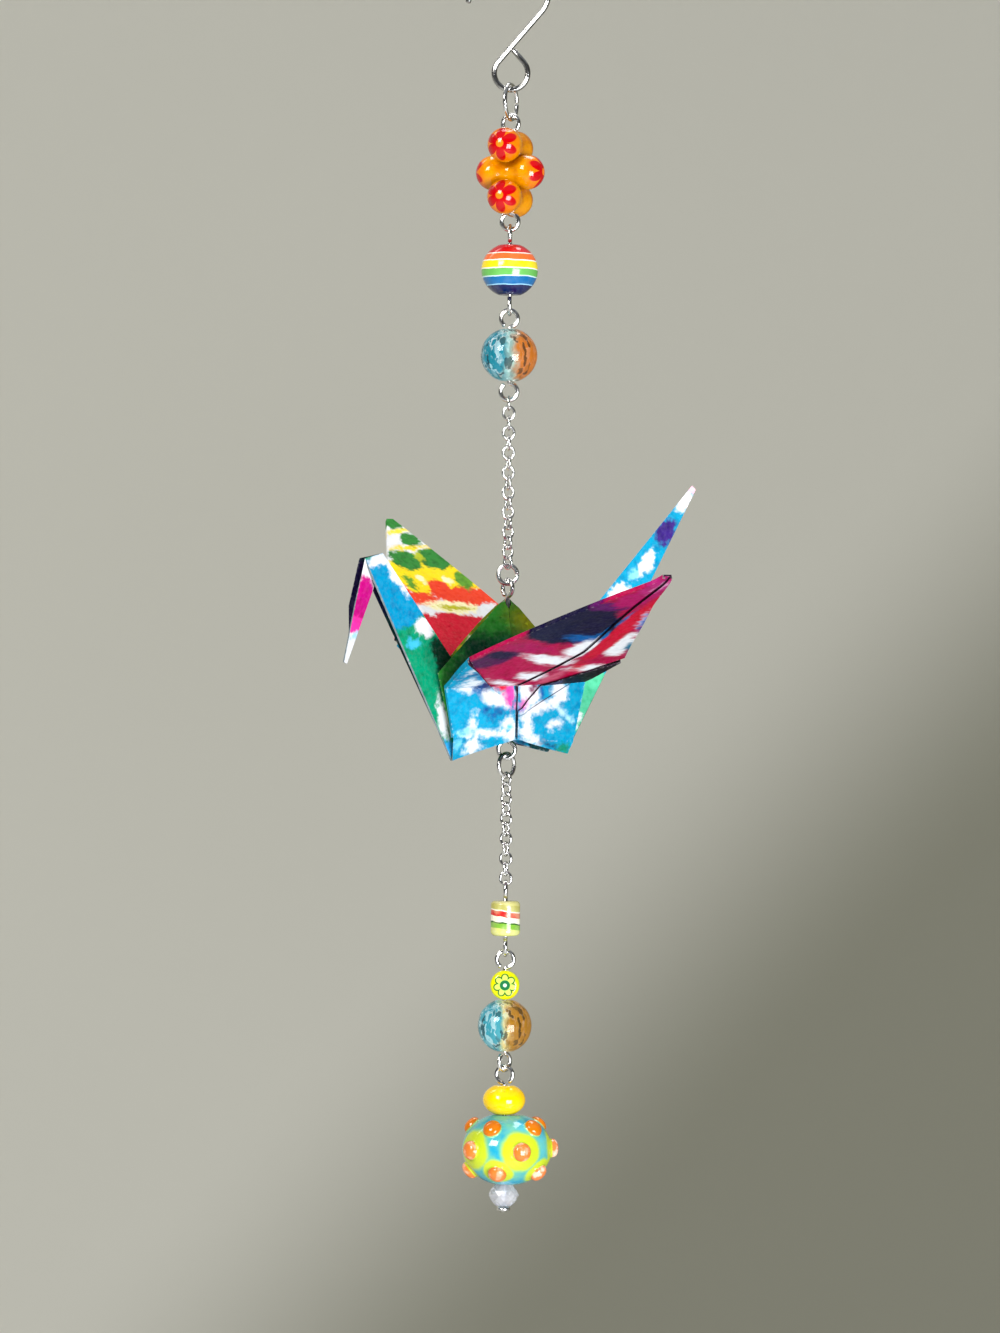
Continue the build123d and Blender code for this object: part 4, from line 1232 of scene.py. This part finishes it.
# %% Bow, slit and tuck
WING_ROOT, WING_REACH = 4.5, 33  # mm from the middle, where a wing starts to bow and for how long
WING_BOW = 0.55  # mm, lift of a wing's middle
FIELD_WAVE, WAVE_START = 0.16, 4  # mm
SLIT_AWAY, SLIT_ALONG = (3.3, 13.8, 39.5), (0, 3.64, 2.1)  # the front wing's slit, mm
SLIT_BOW, SLIT_REACH, SLIT_SIDE = 1.1, 36, 4  # mm: bow, length and width of what it moves
SLIT_OPEN, SLIT_LIP, SLIT_FADE = 0.2, 0.18, 1.5  # mm: how far and how near to it each side draws back
TUCK = 2.2  # mm
TUCK_ALONG, TUCK_TOP, TUCK_AWAY = (3, 6), (24, 27), 0.8  # mm: start and reach, top and reach, reach
PIN_PRESS, PIN_REACH = 0.3, 1.8  # mm, dent where the eye of the pin rests on the hump


def grown(value, reach):
    """Grows from 0 to 1 over a reach, and stays there."""
    return np.clip(value / reach, 0, 1)


creased = [any(not edge.smooth for edge in corner.link_edges) for corner in sheet.verts]
crane_mesh = bpy.data.meshes.new("crane_paper")
sheet.to_mesh(crane_mesh)
sheet.free()
points = np.array([corner.co for corner in crane_mesh.vertices]) / MM
own = in_crane(points)
along, away, up = own.T
on_wing = abs(away) - WING_ROOT
lift = WING_BOW * np.sin(pi * grown(on_wing, WING_REACH))
lift += FIELD_WAVE * np.sin(along * 0.33 + away * 0.21) * grown(on_wing, WAVE_START)
from_pin = np.hypot(points[:, 0] - peak[0], points[:, 1] - peak[1])
lift -= PIN_PRESS * np.clip(PIN_REACH - from_pin, 0, 1) * (up > HUMP_HEIGHT - 4)
points[:, 2] += lift
from_slit = along - np.interp(-away, SLIT_AWAY, SLIT_ALONG)
bowed = SLIT_BOW * np.sin(pi * grown(-away - SLIT_AWAY[0], SLIT_REACH)) ** 0.6
bowed *= np.clip(1 - abs(from_slit) / SLIT_SIDE, 0, 1)
opened = SLIT_OPEN * np.clip(from_slit / SLIT_LIP, -1, 1) * np.clip(SLIT_FADE - abs(from_slit), 0, 1)
tucked = TUCK * grown(-TUCK_ALONG[0] - along, TUCK_ALONG[1]) * grown(TUCK_TOP[0] - up, TUCK_TOP[1])
tucked *= grown(away, TUCK_AWAY)
moved = np.where(away < -SLIT_AWAY[0], bowed + opened, 0) + tucked
points += moved[:, None] * to_crane[0]
crane_mesh.vertices.foreach_set("co", (points * MM).astype(np.float32).ravel())
store(crane_mesh, "fold_place", own)
store(crane_mesh, "crease", creased)
fields = np.zeros(len(crane_mesh.polygons), np.int32)
crane_mesh.attributes["field"].data.foreach_get("value", fields)
crane_mesh.polygons.foreach_set("material_index", fields)
shade(crane_mesh)
print({name: int((fields == k).sum()) for k, name in enumerate(FIELDS)})

# %% [markdown]
# ## Dye blots and paper fibre, shared effects
# Tie-dye spreads from where it is poured: each blot is an oval with a frayed edge, laid over what is already
# there. One group makes a blot, from its centre, its reach along two axes, and its lean.

# %% Dye blot group
blot, given, result = new_group(
    "dye blot",
    {"Place": "Vector", "Centre": "Vector", "Reach": "Vector"}
    | {"Lean": "Float", "Fray": "Float", "Edge": "Float", "Under": "Color", "Dye": "Color"},
    {"Colour": "Color"},
)
offset = vectors(blot, "SUBTRACT", given["Place"], given["Centre"])
swung = add(blot, "ShaderNodeVectorRotate", rotation_type="Z_AXIS")
feed(blot, swung.inputs["Vector"], offset)
feed(blot, swung.inputs["Angle"], given["Lean"])
distance = vectors(blot, "LENGTH", vectors(blot, "DIVIDE", swung.outputs[0], given["Reach"]))
wide, high, deep = split(blot, given["Reach"])
beyond = times(blot, less(blot, distance, 1.0), maths(blot, "MINIMUM", wide, high))
frayed = plus(blot, beyond, given["Fray"])
within = times(blot, given["Edge"], -1.0)
soaked = step(blot, frayed, given["Edge"], within)
feed(blot, result["Colour"], mixed(blot, soaked, given["Under"], given["Dye"]))
print("group:", blot.name)

# %% [markdown]
# Another group makes the paper itself: fine fibres for the bump, dye that has soaked in deeper in patches, a
# faint mottle of the colour, and worn, paler creases.

# %% Paper fibre group
fibre, given, result = new_group(
    "paper fibre",
    {"Place": "Vector", "Crease": "Float", "Colour": "Color"},
    {"Colour": "Color", "Height": "Float", "Roughness": "Float"},
)
stretched = vectors(fibre, "MULTIPLY", given["Place"], (3.0, 9.0, 5.0))
threads = noise(fibre, stretched, 1.0, 4.0)
mottle = step(fibre, noise(fibre, given["Place"], 2.2, 3.0), 0.35, 0.75)
soaked = vectors(fibre, "MULTIPLY", given["Colour"], given["Colour"])
density = step(fibre, noise(fibre, given["Place"], 0.9, 5.0), 0.4, 0.8)
dyed = mixed(fibre, times(fibre, density, 0.55), given["Colour"], soaked)
paled = mixed(fibre, times(fibre, mottle, 0.02), dyed, srgb(250, 248, 244))
worn = step(fibre, plus(fibre, given["Crease"], less(fibre, mottle, 0.7)), 0.55, 1.1)
feed(fibre, result["Colour"], mixed(fibre, times(fibre, worn, 0.18), paled, srgb(238, 236, 230)))
feed(fibre, result["Height"], threads)
feed(fibre, result["Roughness"], between(fibre, threads, 0.42, 0.6))
print("group:", fibre.name)

# %% [markdown]
# One function lays a list of blots on a ground colour, and the fibres over it. The shadow at the edge of a
# flap is painted as a crisp line, a very thin blot that doesn't fray or wander.

# %% Dyed paper from a list of blots
FRAY = 1.5  # mm that a blot's edge frays
SPREAD = 0.8  # mm that the dye wanders
LINE_EDGE = 0.06  # mm, softness of a crisp painted shadow line


def dyed_paper(name, over, ground, blots, edge=0.34, grain=(1, 1, 1), painted_shadow_lines=()):
    """Paper with blots (along, over, reach, reach, lean, dye) on a ground; over is 1 for away, 2 for up."""
    material, tree, shader = finish(name + " paper", Specular_IOR_Level=0.05)
    place = stored(tree, "fold_place")
    axes = split(tree, place)
    wander = vectors(tree, "SUBTRACT", noise(tree, place, 0.45, 2.0, "Color"), (0.5, 0.5, 0.5))
    wide = vectors(tree, "MULTIPLY", wander, (SPREAD * 2, SPREAD * 2, 0))
    plain = joined(tree, axes[0], axes[over], 0.0)
    flat = vectors(tree, "ADD", plain, wide)
    grained = vectors(tree, "MULTIPLY", place, grain)
    fray = wobble(tree, grained, 1.5, 6.0, FRAY)
    colour = srgb(*ground)
    for painted in blots + painted_shadow_lines:
        crisp = painted in painted_shadow_lines
        at_along, at_over, wide_reach, high_reach, lean, dye = painted
        colour = use(
            tree,
            blot,
            Place=plain if crisp else flat,
            Centre=(at_along, at_over, 0),
            Reach=(wide_reach, high_reach, 1),
            Lean=radians(-lean),
            Fray=0.0 if crisp else fray,
            Edge=LINE_EDGE if crisp else edge,
            Under=colour,
            Dye=srgb(*dye),
        )["Colour"]
    paper = use(tree, fibre, Place=place, Crease=stored(tree, "crease", "Fac"), Colour=colour)
    feed(tree, shader["Base Color"], paper["Colour"])
    feed(tree, shader["Roughness"], paper["Roughness"])
    bumped(tree, shader, paper["Height"], 0.006)
    print(material.name, "blots:", len(blots + painted_shadow_lines))
    return material


WHITE = (226, 227, 230)
SKY = (0, 148, 186)
NAVY = (12, 6, 48)
TEAL = (0, 146, 104)
GREEN = (40, 128, 44)
DARK_GREEN = (0, 50, 32)
LEAF = (96, 156, 40)
YELLOW = (248, 218, 0)
CREAM = (248, 240, 190)
ORANGE = (232, 62, 24)
CRIMSON = (204, 0, 40)
WINE = (164, 0, 66)
MAGENTA = (196, 8, 128)
PURPLE = (72, 10, 66)

# %% [markdown]
# ## Dyeing each field
# The blots below are placed field by field, from the ground up, as a dyer would pour them, except a few that
# are painted shade. The front wing is wine and navy with white streaks. The back wing goes from crimson at its
# root through orange and yellow to green at its tip.

# %% Wings
front_wing = dyed_paper("front wing", 1, WINE, (
    (-8.8, -12.2, 4.0, 2.6, -30, PURPLE),
    (-8.4, -13.6, 2.4, 1.3, 20, NAVY),
    (-5.0, -15.4, 5.0, 1.4, 18, (158, 0, 78)),
    (-2.2, -22.0, 7.2, 5.2, 20, NAVY),
    (-3.0, -27.0, 5.0, 4.0, 20, NAVY),
    (1.6, -18.0, 2.6, 1.0, 20, (0, 84, 150)),
    (3.8, -19.0, 1.0, 1.6, 0, (0, 96, 160)),
    (4.2, -24.4, 0.6, 2.0, 0, (0, 96, 160)),
    (-2.8, -4.6, 2.6, 0.6, 22, WHITE),
    (0.6, -6.6, 2.4, 1.1, 20, WHITE),
    (0.6, -11.6, 4.4, 1.1, 16, WHITE),
    (3.0, -14.8, 1.9, 2.8, 10, WHITE),
    (0.2, -13.6, 2.4, 0.4, 16, WINE),
    (-0.6, -29.4, 3.4, 1.6, 20, (88, 8, 90)),
    (1.8, -32.0, 3.0, 3.4, 0, (166, 0, 92)),
    (2.2, -36.8, 2.2, 3.0, 0, (172, 30, 112)),
    (2.6, -36.6, 0.4, 1.4, 10, (214, 150, 190)),
    (10.2, -15.6, 2.2, 4.4, -10, WHITE),
    (8.6, -8.0, 3.6, 0.9, 5, WHITE),
    (6.6, -19.5, 1.8, 13.0, -3, (190, 0, 46)),
    (10.6, -10.3, 4.4, 0.9, 4, (160, 0, 60)),
    (11.8, -17.2, 1.4, 0.35, 30, (170, 40, 80)),
    (8.3, -23.6, 0.45, 2.2, -20, (186, 196, 226)),
    (4.6, -5.4, 1.2, 2.6, 30, (184, 74, 100)),
    (12.3, -14.0, 0.6, 1.8, -25, (0, 110, 140)),
    (9.2, -22.6, 0.6, 2.4, -25, (20, 66, 150)),
), edge=0.55, grain=(0.45, 1.2, 1.2))
back_wing = dyed_paper("back wing", 1, WHITE, (
    (0.5, 23.2, 9.0, 3.4, 0, YELLOW),
    (-3.4, 20.8, 2.2, 2.8, 0, YELLOW),
    (4.6, 19.3, 6.4, 2.2, 0, ORANGE),
    (0.6, 20.4, 2.0, 2.2, 0, ORANGE),
    (-3.4, 18.0, 2.4, 1.4, 10, ORANGE),
    (-1.9, 22.2, 0.7, 0.8, 0, CREAM),
    (2.6, 22.6, 0.8, 0.8, 0, CREAM),
    (0.5, 5.0, 16.0, 10.8, 3, CRIMSON),
    (0.8, 17.0, 4.8, 1.2, 3, CREAM),
    (0.9, 16.9, 2.6, 0.5, 3, (190, 186, 20)),
    (6.9, 17.2, 1.9, 1.1, 25, WHITE),
    (-3.9, 15.4, 0.8, 1.2, 0, WHITE),
    (-2.4, 26.4, 2.4, 2.2, 0, GREEN),
    (2.6, 26.9, 2.8, 2.2, 0, GREEN),
    (0.2, 27.2, 0.9, 1.2, 0, (176, 186, 30)),
    (0.0, 29.2, 3.4, 0.5, 8, (242, 214, 30)),
    (0.6, 30.8, 1.7, 1.3, 0, GREEN),
    (-0.3, 32.6, 2.6, 0.5, 12, (244, 220, 60)),
    (-0.5, 35.0, 2.0, 1.9, 0, GREEN),
    (5.4, 22.6, 1.4, 1.7, 0, LEAF),
    (-4.3, 21.2, 0.7, 1.6, 0, LEAF),
    (-7.5, 18.5, 2.4, 3.0, 0, ORANGE),
    (-9.0, 12.0, 2.0, 2.4, 0, WHITE),
))

# %% [markdown]
# The body is sky blue, with white where the dye didn't reach, some pink and deep blue drops, and a thin dark
# line of painted shadow along the edge of a flap.

# %% Body
body = dyed_paper("body", 2, SKY, (
    (-7.4, 7.2, 2.2, 0.9, -8, WHITE),
    (-4.2, 5.9, 2.6, 1.0, -26, WHITE),
    (-2.4, 5.6, 1.4, 0.8, -10, WHITE),
    (-5.7, 7.2, 1.3, 0.8, 10, (20, 74, 134)),
    (-4.9, 7.6, 0.8, 0.5, 0, (44, 24, 92)),
    (-6.7, 6.4, 0.8, 0.4, -30, (20, 112, 170)),
    (-8.4, 8.7, 2.6, 0.4, 4, (8, 92, 144)),
    (-8.4, 10.2, 2.0, 0.5, 30, WHITE),
    (-2.3, 7.4, 1.2, 0.7, 0, (226, 30, 60)),
    (-0.9, 6.4, 0.9, 1.8, 0, (240, 74, 168)),
    (-4.9, 3.9, 0.8, 0.45, 20, (14, 90, 150)),
    (-3.3, 3.5, 0.9, 0.45, 30, (14, 84, 146)),
    (-2.5, 3.9, 0.5, 0.4, 0, (20, 100, 154)),
    (-4.4, 0.7, 2.9, 0.55, 2, WHITE),
    (-7.2, 1.9, 0.5, 1.2, -20, WHITE),
    (-8.2, 0.9, 0.9, 0.4, 20, (140, 206, 230)),
    (-6.5, -0.9, 1.0, 1.0, 15, WHITE),
    (-6.2, -1.7, 1.0, 0.5, 15, WHITE),
    (-1.6, 2.3, 0.9, 0.5, 50, WHITE),
    (-0.7, 1.6, 0.7, 1.4, 0, WHITE),
    (-1.3, 0.5, 1.0, 0.5, 0, WHITE),
    (-1.2, 1.7, 0.4, 0.3, 0, (90, 190, 226)),
    (-8.9, -1.0, 0.6, 0.8, 0, (110, 196, 226)),
    (-3.0, -0.4, 0.9, 0.35, 18, SKY),
    (2.2, 6.6, 1.8, 1.8, 20, WHITE),
    (1.0, 5.0, 0.45, 0.9, -30, (236, 100, 180)),
    (2.9, 7.8, 0.5, 0.8, -25, (120, 40, 80)),
    (4.3, 6.9, 0.45, 1.1, 5, (12, 84, 150)),
    (7.2, 7.2, 1.3, 1.5, 25, WHITE),
    (3.6, 4.6, 2.8, 0.75, 18, WHITE),
    (6.6, 5.6, 1.4, 0.6, 25, WHITE),
    (1.7, 2.0, 0.9, 2.4, 8, WHITE),
    (2.6, 0.3, 1.9, 0.55, -18, WHITE),
    (6.6, 2.3, 1.1, 0.6, 20, WHITE),
    (7.6, 4.4, 0.4, 1.2, 40, (200, 226, 236)),
    (8.9, 3.3, 0.9, 0.4, -30, (166, 214, 232)),
    (6.0, -0.5, 1.2, 0.35, -15, (6, 56, 100)),
    (8.6, -0.9, 1.2, 0.6, -8, (10, 128, 100)),
# painted shadow: a thin dark line along the edge of a flap
), edge=0.5, painted_shadow_lines=((5.6, 6.35, 5.6, 0.07, 29.8, (40, 46, 70)),))

# %% [markdown]
# The neck and the tail are narrow, so a few blots across each give it its bands. One dark green blot on the
# neck is painted shadow, where the body shades it.

# %% Neck, head and tail
neck = dyed_paper("neck", 2, TEAL, (
    (-18.6, 20.4, 6.4, 5.8, 0, (0, 142, 186)),
    (-21.3, 24.4, 1.9, 0.9, 15, WHITE),
    (-18.0, 22.2, 3.0, 0.9, -48, WHITE),
    (-13.4, 15.2, 1.5, 1.3, 0, WHITE),
    (-15.4, 13.0, 1.2, 0.7, 0, (60, 180, 214)),
    # painted shadow: dark green where the body shades the neck
    (-9.6, 10.6, 4.0, 1.7, -56, DARK_GREEN),
    (-10.4, 2.6, 0.9, 2.8, 12, WHITE),
    (-9.4, -1.8, 1.0, 1.4, 0, (40, 160, 214)),
))
head = dyed_paper("head", 2, WHITE, (
    (-24.0, 18.0, 2.6, 3.9, 0, MAGENTA),
    (-24.6, 15.4, 1.8, 1.2, 0, (240, 50, 160)),
    (-24.6, 13.6, 0.8, 0.5, 0, (160, 210, 236)),
))
tail = dyed_paper("tail", 2, SKY, (
    (12.0, 6.8, 3.4, 6.0, -20, (82, 190, 146)),
    (10.2, 2.2, 0.8, 2.2, -28, WHITE),
    (18.2, 21.4, 1.3, 2.2, -38, WHITE),
    (22.6, 26.2, 0.9, 2.4, -38, WHITE),
    (20.6, 24.6, 0.6, 0.9, 0, (130, 204, 238)),
    (25.8, 30.8, 1.3, 2.0, -38, (58, 34, 120)),
    (28.9, 35.7, 1.0, 1.7, -38, WHITE),
    (30.2, 37.4, 0.8, 0.8, 0, (246, 190, 206)),
))

# %% [markdown]
# The hump is green and the gussets beside it olive. What lies in shade, the inside of the open neck and tail,
# the cut edges and the pleat, is painted darker as painted shade; the pleat's near-black is partly dark dye.
# The mesh then takes the finishes in the order of its fields.

# %% Hump, gusset, inside, cut edge and pleat
# darker toward the bottom and the neck's side, olive toward the upper right
hump = dyed_paper("hump", 2, (44, 136, 44), (
    (-1.5, 10.0, 9.0, 5.0, 15, (0, 72, 42)),
    (3.0, 16.8, 2.6, 1.6, -20, (150, 160, 24)),
    (-5.0, 12.0, 2.4, 3.4, 40, DARK_GREEN),
), edge=1.8)
gusset = dyed_paper("gusset", 2, (106, 122, 24), (
    (-4.7, 15.0, 0.8, 1.3, 0, (84, 98, 10)),
    (-5.7, 13.4, 0.8, 0.9, 0, (206, 208, 194)),
    (-7.0, 12.0, 1.0, 0.9, 0, (176, 150, 16)),
    (5.7, 13.4, 0.9, 1.2, 0, (206, 208, 194)),
))
# painted shade: the inside of the open neck and tail, dark teal with navy blotches
inside_in_painted_shade = dyed_paper("inside", 2, (0, 52, 54), (
    (-19.0, 20.0, 4.0, 3.4, 0, (8, 22, 62)),
    (-24.0, 17.0, 3.0, 8.0, 0, (20, 8, 58)),
    (-14.0, 11.0, 0.9, 1.8, 30, (14, 20, 60)),
    (-11.6, 4.0, 0.8, 2.0, 20, (0, 92, 110)),
    (20.0, 22.0, 4.0, 8.0, -38, (14, 30, 80)),
))
# painted shade: grey cut edges, near black toward the middle where the wings' slits are
cut_edge_in_painted_shade = dyed_paper("cut edge", 2, (112, 124, 128), ((0.0, 12.0, 14.0, 14.0, 0, (40, 22, 40)),))
# painted shade, partly dark dye: the pleat under the front wing is near black
pleat = dyed_paper("pleat", 2, (10, 6, 20), ((6.0, 8.0, 1.2, 0.8, 10, (40, 50, 90)),))
for material in (front_wing, back_wing, body, neck, head, tail, hump, gusset, inside_in_painted_shade, cut_edge_in_painted_shade, pleat):
    crane_mesh.materials.append(material)
crane_paper = placed("crane_paper", crane_mesh)
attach(crane_paper, body_of["crane"])
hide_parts("crane")
print("crane faces:", len(crane_mesh.polygons), "finishes:", len(crane_mesh.materials))

# %% [markdown]
# The box of everything that is drawn, without the studio, is printed in millimetres.

# %% Sizes and finish
low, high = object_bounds()
print("visual box, mm:", [round(v / MM, 1) for v in low], [round(v / MM, 1) for v in high])
